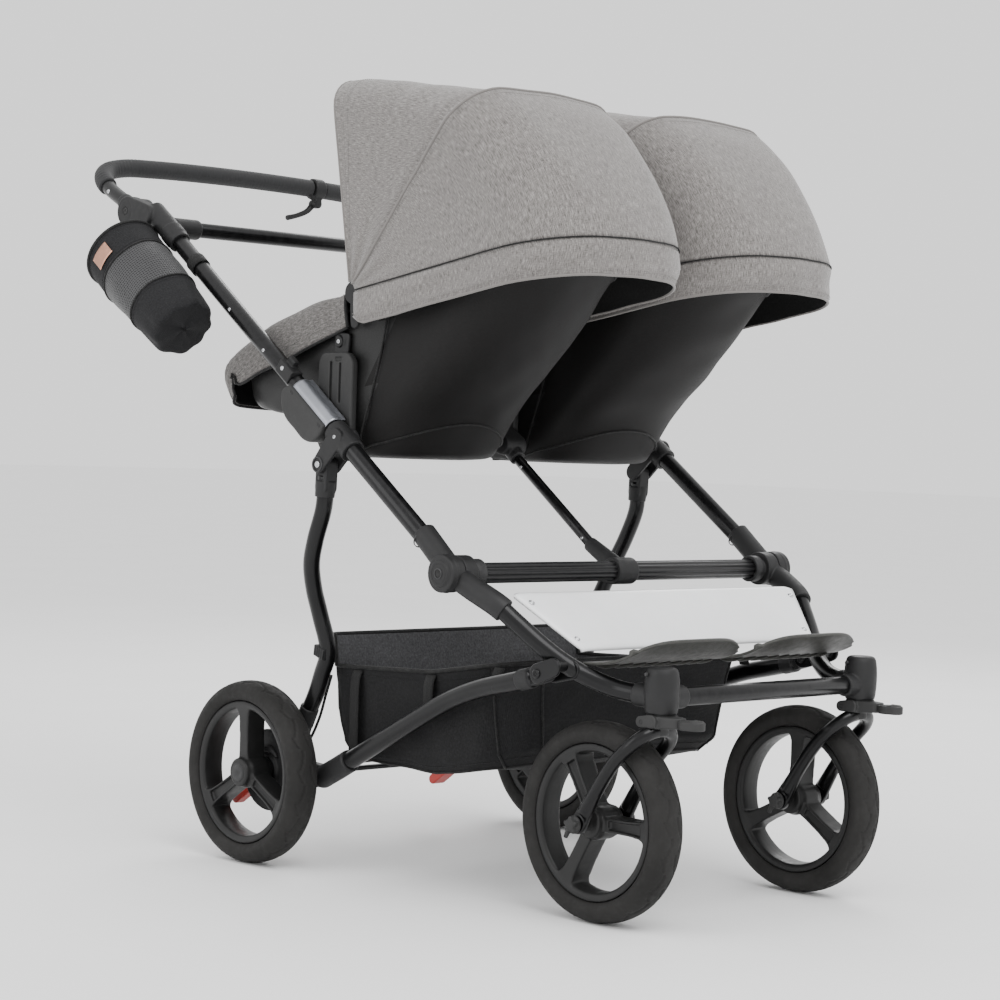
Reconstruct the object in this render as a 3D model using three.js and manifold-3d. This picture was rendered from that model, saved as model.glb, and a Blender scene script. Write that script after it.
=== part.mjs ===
// Side-by-side twin stroller with two parent-facing seats.
// Frame: millimetres, +Z up, front of the stroller towards -Y, push handle towards +Y.
// "_r" is the right-hand side for the person pushing (-X), "_l" the left (+X).
import * as THREE from 'three';
import { mergeVertices } from 'three/addons/utils/BufferGeometryUtils.js';
import Module from 'manifold-3d';

const wasm = await Module();
wasm.setup();
const { Manifold, Mesh } = wasm;

// ---------------------------------------------------------------- driving dimensions
const SHIFT = [37.5, 134.15, 0];      // moves the working axes to the middle of the footprint
const WHEEL_R = 127;                 // 10 inch wheels
const TYRE_W = 48;
const RIM_R = 98;
const REAR_X = 299.5;                // rear wheel centre
const AXLE_Z = 127;
const CASTER_X = 194.7, CASTER_Y = -674.7;   // swivel axis
const TRAIL = 96.3;                  // swivel axis to front axle
const TUBE_R = 12.3;                 // main frame tubes
const FRAME_X = 306;                 // side tube centre
const KNEE = [-412, 429.5];          // fold axis (y, z)
const CLEVIS = [-152, 560];          // rear leg top pivot
const LEG_FOOT = [-46, 172];         // rear leg lower pivot
const LINK = [-535, 312];            // lower tube front pivot
const HANDLE = [308, 920];           // handle angle pivot
const BRAKE = [30, 113];             // brake bar axis
const HOOD = [-176, 792];            // hood pivot
const SEAT_X = 156;                  // seat centre
const HOOD_W = 144;                  // hood half width
const GAP = 0.35;                    // gap between touching pieces
const SEG = 8;                       // sides of a bent tube

// ---------------------------------------------------------------- solids
const V = (x, y, z) => new THREE.Vector3(x, y, z);

function raw(geo) {
  let g = geo.clone();
  for (const a of Object.keys(g.attributes)) if (a !== 'position') g.deleteAttribute(a);
  g = mergeVertices(g, 1e-4);
  const p = g.attributes.position.array, i = g.index.array;
  const tris = [];
  let vol = 0;
  for (let k = 0; k < i.length; k += 3) {
    const [a, b, c] = [i[k], i[k + 1], i[k + 2]];
    if (a === b || b === c || a === c) continue;
    tris.push(a, b, c);
    vol += p[3 * a] * (p[3 * b + 1] * p[3 * c + 2] - p[3 * b + 2] * p[3 * c + 1])
      - p[3 * a + 1] * (p[3 * b] * p[3 * c + 2] - p[3 * b + 2] * p[3 * c])
      + p[3 * a + 2] * (p[3 * b] * p[3 * c + 1] - p[3 * b + 1] * p[3 * c]);
  }
  if (vol < 0) for (let k = 0; k < tris.length; k += 3) [tris[k + 1], tris[k + 2]] = [tris[k + 2], tris[k + 1]];
  return { p: new Float32Array(p), t: new Uint32Array(tris) };
}
function M(geo) {
  const { p, t } = raw(geo);
  return new Manifold(new Mesh({ numProp: 3, vertProperties: p, triVerts: t }));
}
function G(man) {
  const m = man.getMesh();
  const g = new THREE.BufferGeometry();
  g.setAttribute('position', new THREE.BufferAttribute(new Float32Array(m.vertProperties), 3));
  g.setIndex(new THREE.BufferAttribute(new Uint32Array(m.triVerts), 1));
  return g;
}
const join = (...m) => m.reduce((a, b) => a.add(b));
const cut = (a, ...m) => m.reduce((x, b) => x.subtract(b), a);

function rod(p, q, r, seg = SEG, r2 = r) {
  const d = new THREE.Vector3().subVectors(q, p);
  const g = new THREE.CylinderGeometry(r2, r, d.length(), seg, 1);
  const qn = new THREE.Quaternion().setFromUnitVectors(V(0, 1, 0), d.clone().normalize());
  g.applyQuaternion(qn);
  const c = p.clone().add(q).multiplyScalar(0.5);
  g.translate(c.x, c.y, c.z);
  return M(g);
}
const cylX = (r, x0, x1, y, z, seg = 20) => rod(V(Math.min(x0, x1), y, z), V(Math.max(x0, x1), y, z), r, seg);
const cylY = (r, y0, y1, x, z, seg = 12) => rod(V(x, y0, z), V(x, y1, z), r, seg);
const cylZ = (r, z0, z1, x, y, seg = 20, r2 = r) => rod(V(x, y, z0), V(x, y, z1), r, seg, r2);

function tube(points, r, steps, seg = SEG) {
  const curve = new THREE.CatmullRomCurve3(points, false, 'centripetal');
  const s = new THREE.Shape();
  for (let k = 0; k < seg; k++) {
    const a = (2 * Math.PI * (k + 0.5)) / seg;
    if (k) s.lineTo(r * Math.cos(a), r * Math.sin(a)); else s.moveTo(r * Math.cos(a), r * Math.sin(a));
  }
  s.closePath();
  return M(new THREE.ExtrudeGeometry(s, { steps, extrudePath: curve, curveSegments: 1 }));
}
// a plate in the YZ plane with two round ends, between x0 and x1
function slotPlate(p1, r1, p2, r2, x0, x1, n = 5) {
  const d = Math.hypot(p2[0] - p1[0], p2[1] - p1[1]);
  const a0 = Math.atan2(p2[1] - p1[1], p2[0] - p1[0]);
  const b = Math.acos((r1 - r2) / d);
  const s = new THREE.Shape();
  const pts = [];
  for (let k = 0; k <= n; k++) { const a = a0 + b + ((2 * Math.PI - 2 * b) * k) / n; pts.push([p1[0] + r1 * Math.cos(a), p1[1] + r1 * Math.sin(a)]); }
  for (let k = 0; k <= n; k++) { const a = a0 - b + (2 * b * k) / n; pts.push([p2[0] + r2 * Math.cos(a), p2[1] + r2 * Math.sin(a)]); }
  pts.forEach((q, k) => (k ? s.lineTo(q[0], q[1]) : s.moveTo(q[0], q[1])));
  return extrudeX(s, Math.min(x0, x1), Math.max(x0, x1));
}
// extrude a shape drawn in (y, z) along X
function extrudeX(shape, x0, x1) {
  const g = new THREE.ExtrudeGeometry(shape, { depth: x1 - x0, bevelEnabled: false, curveSegments: 6 });
  g.applyMatrix4(new THREE.Matrix4().set(0, 0, 1, x0, 1, 0, 0, 0, 0, 1, 0, 0, 0, 0, 0, 1));
  return M(g);
}
function poly(pts) {
  const s = new THREE.Shape();
  pts.forEach((q, k) => (k ? s.lineTo(q[0], q[1]) : s.moveTo(q[0], q[1])));
  s.closePath();
  return s;
}
function box(x0, x1, y0, y1, z0, z1) {
  const g = new THREE.BoxGeometry(Math.abs(x1 - x0), Math.abs(y1 - y0), Math.abs(z1 - z0));
  g.translate((x0 + x1) / 2, (y0 + y1) / 2, (z0 + z1) / 2);
  return M(g);
}
// solid through a list of rings of equal count, capped flat at both ends
function loft(rings) {
  const n = rings[0].length, m = rings.length;
  const pos = [], idx = [];
  rings.forEach(r => r.forEach(q => pos.push(q.x, q.y, q.z)));
  for (let i = 0; i + 1 < m; i++) for (let j = 0; j < n; j++) {
    const a = i * n + j, b = i * n + ((j + 1) % n), c = a + n, d = b + n;
    idx.push(a, b, d, a, d, c);
  }
  for (const [i, flip] of [[0, true], [m - 1, false]]) {
    const c = new THREE.Vector3();
    rings[i].forEach(q => c.add(q));
    c.multiplyScalar(1 / n);
    const ci = pos.length / 3;
    pos.push(c.x, c.y, c.z);
    for (let j = 0; j < n; j++) {
      const a = i * n + j, b = i * n + ((j + 1) % n);
      if (flip) idx.push(ci, b, a); else idx.push(ci, a, b);
    }
  }
  return solid(pos, idx);
}
function solid(pos, idx) {
  const g = new THREE.BufferGeometry();
  g.setAttribute('position', new THREE.Float32BufferAttribute(pos, 3));
  g.setIndex(idx);
  return M(g);
}
// closed sheet from two grids of points, outer[i][j] and inner[i][j]
function sheet(outer, inner) {
  const m = outer.length, n = outer[0].length, pos = [], idx = [];
  for (const g of [outer, inner]) g.forEach(r => r.forEach(q => pos.push(q.x, q.y, q.z)));
  const A = (i, j) => i * n + j, B = (i, j) => m * n + i * n + j;
  for (let i = 0; i + 1 < m; i++) for (let j = 0; j + 1 < n; j++) {
    idx.push(A(i, j), A(i, j + 1), A(i + 1, j + 1), A(i, j), A(i + 1, j + 1), A(i + 1, j));
    idx.push(B(i, j), B(i + 1, j + 1), B(i, j + 1), B(i, j), B(i + 1, j), B(i + 1, j + 1));
  }
  for (let i = 0; i + 1 < m; i++) {
    idx.push(A(i, 0), A(i + 1, 0), B(i + 1, 0), A(i, 0), B(i + 1, 0), B(i, 0));
    idx.push(A(i, n - 1), B(i + 1, n - 1), A(i + 1, n - 1), A(i, n - 1), B(i, n - 1), B(i + 1, n - 1));
  }
  for (let j = 0; j + 1 < n; j++) {
    idx.push(A(0, j), B(0, j + 1), A(0, j + 1), A(0, j), B(0, j), B(0, j + 1));
    idx.push(A(m - 1, j), A(m - 1, j + 1), B(m - 1, j + 1), A(m - 1, j), B(m - 1, j + 1), B(m - 1, j));
  }
  return solid(pos, idx);
}

// ---------------------------------------------------------------- scene graph
const stroller = new THREE.Group();
const frame = new THREE.Group();
frame.position.set(...SHIFT);
stroller.add(frame);
const mats = {
  tube: [0x0e0e0f, 0.32, 0.7], plastic: [0x1a1a1b, 0.55, 0], gloss: [0x131314, 0.3, 0], rubber: [0x232323, 0.8, 0],
  grip: [0x1c1d1f, 0.85, 0], panel: [0xeef0f4, 0.35, 0], foot: [0x2b2c2b, 0.5, 0], steel: [0x8c8e90, 0.35, 1],
  saddle: [0x9b9da0, 0.4, 0.9], melange: [0x8d8883, 0.95, 0], shell: [0x0d0c0c, 0.6, 0], bag: [0x141414, 0.85, 0], red: [0xb0261f, 0.45, 0],
};
const cache = {};
function mat(k) {
  if (!cache[k]) cache[k] = new THREE.MeshStandardMaterial({ color: mats[k][0], roughness: mats[k][1], metalness: mats[k][2] });
  return cache[k];
}
function node(name, man, material) {
  const mesh = new THREE.Mesh(G(man), mat(material));
  mesh.name = name;
  frame.add(mesh);
  return mesh;
}
const SIDES = [[-1, 'r'], [1, 'l']];
const LEVER_Z = 977;

// centre line of the side tube in (y, z)
const SIDE_LINE = y => 605.9 + 0.7217 * (y + 168.2);
const sidePoint = (y, x = FRAME_X) => V(x, y, SIDE_LINE(y));

// ---------------------------------------------------------------- front frame
const barrelPos = s => [s * CASTER_X, CASTER_Y];
for (const [s, n] of SIDES) {
  const path = [V(s * 303, -446, 412), V(s * 294, -480, 394.5), V(s * 281, -503, 373.5), V(s * 261, -534.6, 343.6), V(s * 243, -557, 324), V(s * 226, -581, 309.5), V(s * 212, -608, 299), V(s * 203, -638, 294.2), V(s * 198.5, -651.5, 293)];
  let t = tube(path, 11.8, 9);
  const plate = slotPlate([-562, 322], 12, LINK, 13, s * 274, s * 269);
  const plate2 = slotPlate([-566, 318], 12, LINK, 13, s * 244.5, s * 239.5);
  const pin = cylX(4, s * 273, s * 241, LINK[0], LINK[1], 12);
  t = join(t, plate, plate2, pin, rod(V(s * 272, -560, 323), V(s * 241, -560, 323), 5, 8));
  node('front_tube_' + n, t, 'tube');
  // swivel barrel: a bulged housing with a blind bore for the fork stem
  const prof = [[0, 271.7], [19.5, 271.7], [22.2, 290], [21.8, 312], [18.5, 328], [0, 330]].map(q => new THREE.Vector2(q[0], q[1]));
  const g = new THREE.LatheGeometry(prof, 12);
  g.rotateX(Math.PI / 2);
  g.translate(s * CASTER_X, CASTER_Y, 0);
  let b = M(g);
  b = cut(b, cylZ(10.6, 260, 318, s * CASTER_X, CASTER_Y, 12));
  const clear = tube(path, 12.5, 9);
  const lug = rod(V(s * 199.5, -645, 293.4), V(s * 195.5, -672, 292), 14.8, 10);
  const lug2 = cylX(14.6, s * 160, s * 190, CASTER_Y, 292, 12);
  b = cut(join(b, cut(lug, cylZ(15, 250, 320, s * CASTER_X, CASTER_Y, 10)), cut(lug2, cylZ(15, 250, 320, s * CASTER_X, CASTER_Y, 10))), clear,
    cylX(12.3, s * 150, s * 171.7, CASTER_Y, 292, 12));
  node('caster_barrel_' + n, b, 'plastic');
}
node('front_cross_tube', cylX(11.8, -171.3, 171.3, CASTER_Y, 292, 12), 'tube');

// knees: a lower half with a collar over the front tube and an upper half over the side tube
const kneeV = (x, d, ang) => V(x, KNEE[0] + d * Math.cos(ang), KNEE[1] + d * Math.sin(ang));
const UP = Math.atan(0.7217), LOW = Math.PI + 0.5;
for (const [s, n] of SIDES) {
  const lowDisc = cylX(23.5, s * 283.5, s * 305.8, ...KNEE, 16);
  const upDisc = join(cylX(24.5, s * 306.2, s * 330, ...KNEE, 16), cylX(17, s * 329, s * 333, ...KNEE, 16));
  const lowPath = [V(s * 305, -428, 420.5), V(s * 303, -446, 412), V(s * 294, -480, 394.5), V(s * 289, -490, 387)];
  const lowCollar = tube(lowPath, 16, 2);
  const lowBore = tube([V(s * 303.4, -444.2, 412.9), V(s * 303, -446, 412), V(s * 294, -480, 394.5), V(s * 281, -503, 373.5), V(s * 261, -534.6, 343.6)], 13.1, 7);
  node('knee_lower_' + n, cut(join(lowDisc, lowCollar), lowBore, cylX(25.2, s * 305.9, s * 340, ...KNEE, 16)), 'plastic');
  const c0 = V(s * FRAME_X, KNEE[0] + 15 * Math.cos(UP), KNEE[1] + 15 * Math.sin(UP)), c1 = V(s * FRAME_X, -352, 478);
  const upCollar = rod(c0, c1, 16, 12);
  node('knee_upper_' + n, cut(join(upDisc, upCollar), cylX(24.1, s * 280, s * 306.1, ...KNEE, 16), rod(sidePoint(-389, s * FRAME_X).add(V(0, 0, 0.4)), sidePoint(-340, s * FRAME_X).add(V(0, 0, 0.3)), 12.8, 12)), 'plastic');
}
// fluted crossbar between the knees, on the fold axis
{
  const s = new THREE.Shape();
  const k = 24;
  for (let i = 0; i < k; i++) {
    const a = (2 * Math.PI * i) / k, r = i % 2 ? 12.2 : 13.4;
    if (i) s.lineTo(r * Math.cos(a), r * Math.sin(a)); else s.moveTo(r * Math.cos(a), r * Math.sin(a));
  }
  s.closePath();
  const g = new THREE.ExtrudeGeometry(s, { depth: 566, bevelEnabled: false });
  g.rotateY(Math.PI / 2);
  g.translate(-283, KNEE[0], KNEE[1]);
  node('crossbar', M(g), 'gloss');
}
// sloping leg panel: white sheet standing on the front of the two front tubes
const PAN = { y0: -478, z0: 402.5, y1: -560, z1: 337, w0: 266, w1: 226, t: 3 };
{
  const dy = PAN.y1 - PAN.y0, dz = PAN.z1 - PAN.z0, L = Math.hypot(dy, dz);
  const ny = dz / L, nz = -dy / L;   // outward, up and to the front
  const P = (u, w, h) => V(w, PAN.y0 + dy * u + ny * h, PAN.z0 + dz * u + nz * h);
  const rings = [];
  for (const h of [4, 4 + PAN.t]) rings.push([P(0, -PAN.w0, h), P(0.06, -PAN.w0 - 5, h), P(1, -PAN.w1, h), P(1, PAN.w1, h), P(0.06, PAN.w0 + 5, h), P(0, PAN.w0, h)]);
  const pan = loft(rings);
  const bores = SIDES.flatMap(([s]) => [tube([V(s * 303, -446, 412), V(s * 294, -480, 394.5), V(s * 281, -503, 373.5), V(s * 261, -534.6, 343.6), V(s * 243, -557, 324), V(s * 226, -581, 309.5)], 12.8, 8),
    tube([V(s * 305, -428, 420.5), V(s * 303, -446, 412), V(s * 294, -480, 394.5), V(s * 289, -490, 387)], 17, 3)]);
  node('leg_panel', cut(pan, ...bores), 'panel');
}
// foot plates: flat at the back, turned up at the front, with swept corners
for (const [s, n] of SIDES) {
  const nu = 9, nv = 6, out = [], inn = [];
  const x0 = 10, x1 = 224;
  for (let i = 0; i < nv; i++) {
    const v = i / (nv - 1);
    const ro = [], ri = [];
    for (let j = 0; j < nu; j++) {
      const u = -1 + (2 * j) / (nu - 1);
      const e = Math.pow(Math.abs(u), 4);
      const y = -566 - (78 + 22 * (1 - Math.pow(Math.abs(u), 2.5))) * v;
      const lift = 34 * Math.pow(v, 2.6) * (1 - 0.55 * e) + 2 * e * v;
      const slope = 34 * 2.6 * Math.pow(v, 1.6) * (1 - 0.55 * e) / 90;
      const x = s * ((x0 + x1) / 2 + (u * (x1 - x0)) / 2 * (1 - 0.06 * v * v));
      const z = 327.5 + lift, k = 1 / Math.hypot(1, slope), t = 4;
      ro.push(V(x, y, z));
      ri.push(V(x, y - t * slope * k, z - t * k));
    }
    out.push(ro); inn.push(ri);
  }
  node('foot_plate_' + n, sheet(out, inn), 'foot');
}

// ---------------------------------------------------------------- wheels
function tyreGeo(x) {
  const w = TYRE_W / 2, R = WHEEL_R / Math.cos(Math.PI / 24);
  const prof = [[RIM_R + 1.4, -16], [RIM_R + 10, -w], [R - 6, -w + 5], [R, -9], [R, 9], [R - 6, w - 5], [RIM_R + 10, w], [RIM_R + 1.4, 16]];
  const pts = prof.concat([prof[0]]).map(q => new THREE.Vector2(q[0], q[1]));
  const g = new THREE.LatheGeometry(pts, 24);
  g.rotateZ(Math.PI / 2);          // lathe axis to X
  g.rotateX(Math.PI / 24);         // a flat of the crown band faces down
  return g;
}
function rimMan(spin, blind) {
  const prof = [[RIM_R - 10, -17], [RIM_R, -18], [RIM_R, 18], [RIM_R - 10, 17]];
  const g = new THREE.LatheGeometry(prof.concat([prof[0]]).map(q => new THREE.Vector2(q[0], q[1])), 24);
  g.rotateZ(Math.PI / 2);
  let m = M(g);
  for (let k = 0; k < 3; k++) {
    const a = spin + (2 * Math.PI * k) / 3;
    const rings = [];
    for (const [d, w, t] of [[10, 11, 15.5], [60, 9.5, 15.3], [RIM_R - 8, 15, 16.5]]) {
      const c = V(0, d * Math.cos(a), d * Math.sin(a)), e = V(0, -Math.sin(a) * w, Math.cos(a) * w);
      rings.push([V(-t, c.y - e.y, c.z - e.z), V(-t, c.y + e.y, c.z + e.z), V(t, c.y + e.y, c.z + e.z), V(t, c.y - e.y, c.z - e.z)]);
    }
    m = m.add(loft(rings));
  }
  m = m.add(cylX(21, -24, 24, 0, 0, 12));
  return m;
}
for (const [s, n] of SIDES) {
  const fy = CASTER_Y + TRAIL, fx = s * CASTER_X;
  for (const [where, x, y, bore, spin] of [['front', fx, fy, 4.4, s > 0 ? 1.62 : 1.047], ['rear', s * REAR_X, 0, 6.45, 1.54]]) {
    const t = tyreGeo();
    t.translate(x, y, AXLE_Z);
    node(where + '_tyre_' + n, M(t), 'rubber');
    let r = rimMan(spin);
    const hole = where === 'front' ? cylX(bore, -60, 60, 0, 0, 12) : (s < 0 ? cylX(bore, -20, 60, 0, 0, 12) : cylX(bore, -60, 20, 0, 0, 12));
    r = cut(r, hole).translate([x, y, AXLE_Z]);
    node(where + '_rim_' + n, r, 'gloss');
  }
  // caster fork: stem, crown disc and one bent tube over the wheel, with dropouts
  const crown = V(fx, CASTER_Y + 2, 251);
  const loop = tube([V(fx - 39, fy, AXLE_Z + 2), V(fx - 38.5, fy - 18, AXLE_Z + 30), V(fx - 38, fy - 56, AXLE_Z + 83), V(fx - 34, CASTER_Y + 16, 234), V(fx - 22, CASTER_Y + 4, 247), V(fx, CASTER_Y + 1, 252),
    V(fx + 22, CASTER_Y + 4, 247), V(fx + 34, CASTER_Y + 16, 234), V(fx + 38, fy - 56, AXLE_Z + 83), V(fx + 38.5, fy - 18, AXLE_Z + 30), V(fx + 39, fy, AXLE_Z + 2)], 9, 14, 6);
  const tabs = [-1, 1].map(k => cylX(12.5, fx + k * 34.5, fx + k * 43.5, fy, AXLE_Z, 10));
  const stem = cylZ(10, 250, 316, fx, CASTER_Y, 12);
  const crownDisc = cylZ(19, 255, 271.2, fx, CASTER_Y, 14);
  const hinge = slotPlateZ([fx, CASTER_Y], 18, [fx, CASTER_Y - 26], 11, 256, 270.5);
  let fork = join(loop, ...tabs, stem, crownDisc, hinge);
  fork = cut(fork, cylX(4.6, fx - 60, fx + 60, fy, AXLE_Z, 8), box(fx - 20, fx + 20, CASTER_Y - 60, CASTER_Y - 32.5, 240, 280));
  node('caster_fork_' + n, fork, 'tube');
  // swivel lock lever, hinged on the front of the crown
  const lever = join(slotPlateZ([fx, CASTER_Y - 44], 15, [fx, CASTER_Y - 58], 11.5, 257, 269.5));
  node('swivel_lock_' + n, cut(lever, box(fx - 30, fx + 30, CASTER_Y - 32.9, CASTER_Y - 10, 240, 280)), 'plastic');
  // front axle: skewer with a nut and a quick release knob
  const knob = rod(V(fx - 48.3, fy, AXLE_Z), V(fx - 58, fy, AXLE_Z), 11, 10, 8.5), nut = rod(V(fx + 48.3, fy, AXLE_Z), V(fx + 56, fy, AXLE_Z), 10, 10, 7.5);
  node('front_axle_' + n, join(cylX(4, fx - 50, fx + 50, fy, AXLE_Z, 8), knob, nut), 'plastic');
}
function slotPlateZ(p1, r1, p2, r2, z0, z1, k = 5) {
  const d = Math.hypot(p2[0] - p1[0], p2[1] - p1[1]);
  const a0 = Math.atan2(p2[1] - p1[1], p2[0] - p1[0]);
  const b = Math.acos((r1 - r2) / d);
  const pts = [];
  for (let i = 0; i <= k; i++) { const a = a0 + b + ((2 * Math.PI - 2 * b) * i) / k; pts.push([p1[0] + r1 * Math.cos(a), p1[1] + r1 * Math.sin(a)]); }
  for (let i = 0; i <= k; i++) { const a = a0 - b + (2 * b * i) / k; pts.push([p2[0] + r2 * Math.cos(a), p2[1] + r2 * Math.sin(a)]); }
  const g = new THREE.ExtrudeGeometry(poly(pts), { depth: z1 - z0, bevelEnabled: false });
  g.translate(0, 0, z0);
  return M(g);
}

// ---------------------------------------------------------------- upper frame
for (const [s, n] of SIDES) {
  const X = s * FRAME_X;
  node('side_tube_' + n, rod(sidePoint(246, X), V(X, -388, SIDE_LINE(-388) + 0.4), TUBE_R, 12), 'tube');
  // handle base: housing over the top of the side tube, a cross-tube socket and the outer half of the angle hinge
  const a = sidePoint(196, X), b = sidePoint(268, X);
  let base = join(rod(a, b, 16.5, 12), slotPlate([262, SIDE_LINE(262) - 4], 16, HANDLE, 22, s * 306.3, s * 328, 8), cylX(14.8, s * 296, s * 252, 232, SIDE_LINE(232), 12));
  base = cut(base, rod(sidePoint(150, X), sidePoint(246.6, X), TUBE_R + GAP, 12), cylX(11.4, s * 262, s * 240, 232, SIDE_LINE(232), 12), cylX(21.5, s * 270, s * 306.2, ...HANDLE, 20));
  node('handle_base_' + n, base, 'plastic');
  // clevis: collar on the side tube with two ears and the pivot pin of the rear leg
  const c0 = sidePoint(-166, X), c1 = sidePoint(-206, X);
  const mid = [-184, SIDE_LINE(-184)];
  let clevis = join(rod(c0, c1, 17, 12), slotPlate(mid, 15, CLEVIS, 12, s * 323, s * 317), slotPlate(mid, 15, CLEVIS, 12, s * 295, s * 289), cylX(4, s * 318, s * 294, ...CLEVIS, 12));
  clevis = cut(clevis, rod(sidePoint(-150, X), sidePoint(-220, X), TUBE_R + GAP, 12));
  node('clevis_' + n, clevis, 'plastic');
  // seat receiver: rounded housing below the tube, with a saddle over it and a wall the seat post stands against
  const d = [Math.cos(UP), Math.sin(UP)], nn = [-Math.sin(UP), Math.cos(UP)];
  const at = (y, v) => [y + nn[0] * v, SIDE_LINE(y) + nn[1] * v];
  const cap = extrudeX(poly([at(-86, 4), at(-78, -14), at(-92, -34), at(-112, -39), at(-142, -39), at(-157, -30), at(-163, -12), at(-163, 4)]), Math.min(s * 326, s * 291.5), Math.max(s * 326, s * 291.5));
  const saddle = extrudeX(poly([at(-90, 15.5), at(-90, -10), at(-163, -10), at(-163, 15.5)]), Math.min(s * 322, s * 291.5), Math.max(s * 322, s * 291.5));
  node('seat_receiver_' + n, cut(join(cap, saddle), rod(sidePoint(-60, X), sidePoint(-190, X), TUBE_R + GAP, 12)), 'saddle');
}
node('cross_tube', cylX(11, -261.6, 261.6, 232, SIDE_LINE(232), 12), 'tube');
// centre rod: sleeve turning on the crossbar, twin-socket rod and seat receiver
{
  const q = (y, z) => V(0, y, z);
  const top = q(-186, 588), foot = q(-392, 434);
  const sleeve = cylX(18.5, -19, 19, ...KNEE, 16);
  const rodm = join(sleeve, rod(q(-400, 438), q(-352, 463), 13, 12, 10.5), rod(q(-356, 460), top, 7.5, 12));
  const receiver = slotPlate([-188, 594], 14, [-150, 616], 17, -19.5, 19.5);
  node('centre_rod', cut(join(rodm, receiver), cylX(13.9, -40, 40, ...KNEE, 24)), 'plastic');
}
// handlebar and grip
const barPath = [V(-306, 316, 924), V(-304, 345, 938), V(-299, 388, 957.5), V(-290, 422, 976), V(-268, 446, 991), V(-232, 455, 1000.5), V(-170, 457.5, 1004.5), V(-60, 459, 1007), V(60, 459, 1007), V(170, 457.5, 1004.5), V(232, 455, 1000.5), V(268, 446, 991), V(290, 422, 976), V(299, 388, 957.5), V(304, 345, 938), V(306, 316, 924)];
{
  const bar = tube(barPath, 10.8, 26, 8);
  const bore = tube(barPath, 11.3, 26, 8);
  const hubs = SIDES.map(([s]) => cylX(20.5, s * 288, s * 305.8, ...HANDLE, 16));
  const clears = SIDES.map(([s]) => cylX(23.4, s * 306.1, s * 340, ...HANDLE, 16));
  // lever bracket clamped on the left part of the bar
  const bracket = join(cylX(17.5, 141, 163, 458, 1005, 12), cylY(7.5, 450, 459, 152, LEVER_Z), box(146, 158, 450, 459, LEVER_Z, 1000));
  let hb = cut(join(bar, ...hubs, bracket), ...clears, cylY(3, 440, 470, 152, LEVER_Z, 8));
  node('handlebar', hb, 'tube');
  const full = tube(barPath, 14.2, 26, 8);
  // the grip covers the bar from behind one hinge to behind the other, either side of the lever bracket
  let grip = full.intersect(join(box(-340, 340, 398, 520, 955, 1060), box(-340, 340, 404, 520, 900, 960)));
  grip = cut(grip, bore, box(140.5, 163.5, 420, 500, 940, 1060));
  const parts = grip.decompose();
  parts.sort((p, q) => p.volume() - q.volume());
  node('grip', parts[parts.length - 1], 'grip');
  node('grip_short', parts[parts.length - 2], 'grip');
}
// brake lever under the bar
{
  const lev = join(cylY(6.5, 459.5, 469, 152, LEVER_Z), cylY(2.4, 447, 462, 152, LEVER_Z, 8),
    tube([V(152, 464.5, LEVER_Z), V(140, 464.5, 966), V(120, 465, 957), V(98, 465, 951)], 4.4, 5, 6));
  node('brake_lever', lev, 'plastic');
}
// cup pouch hanging outside the right side tube
{
  const prof = [[0, 0], [44, 0], [50, 30], [56, 110], [57, 192], [54, 192], [53, 110], [47, 32], [41, 3.5], [0, 3.5]].map(q => new THREE.Vector2(q[0], q[1]));
  const g = new THREE.LatheGeometry(prof, 12);
  const dir = V(0, Math.cos(UP), Math.sin(UP));
  g.applyQuaternion(new THREE.Quaternion().setFromUnitVectors(V(0, 1, 0), dir));
  g.translate(-351, 120, 742);
  node('pouch', M(g), 'bag');
}

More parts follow.
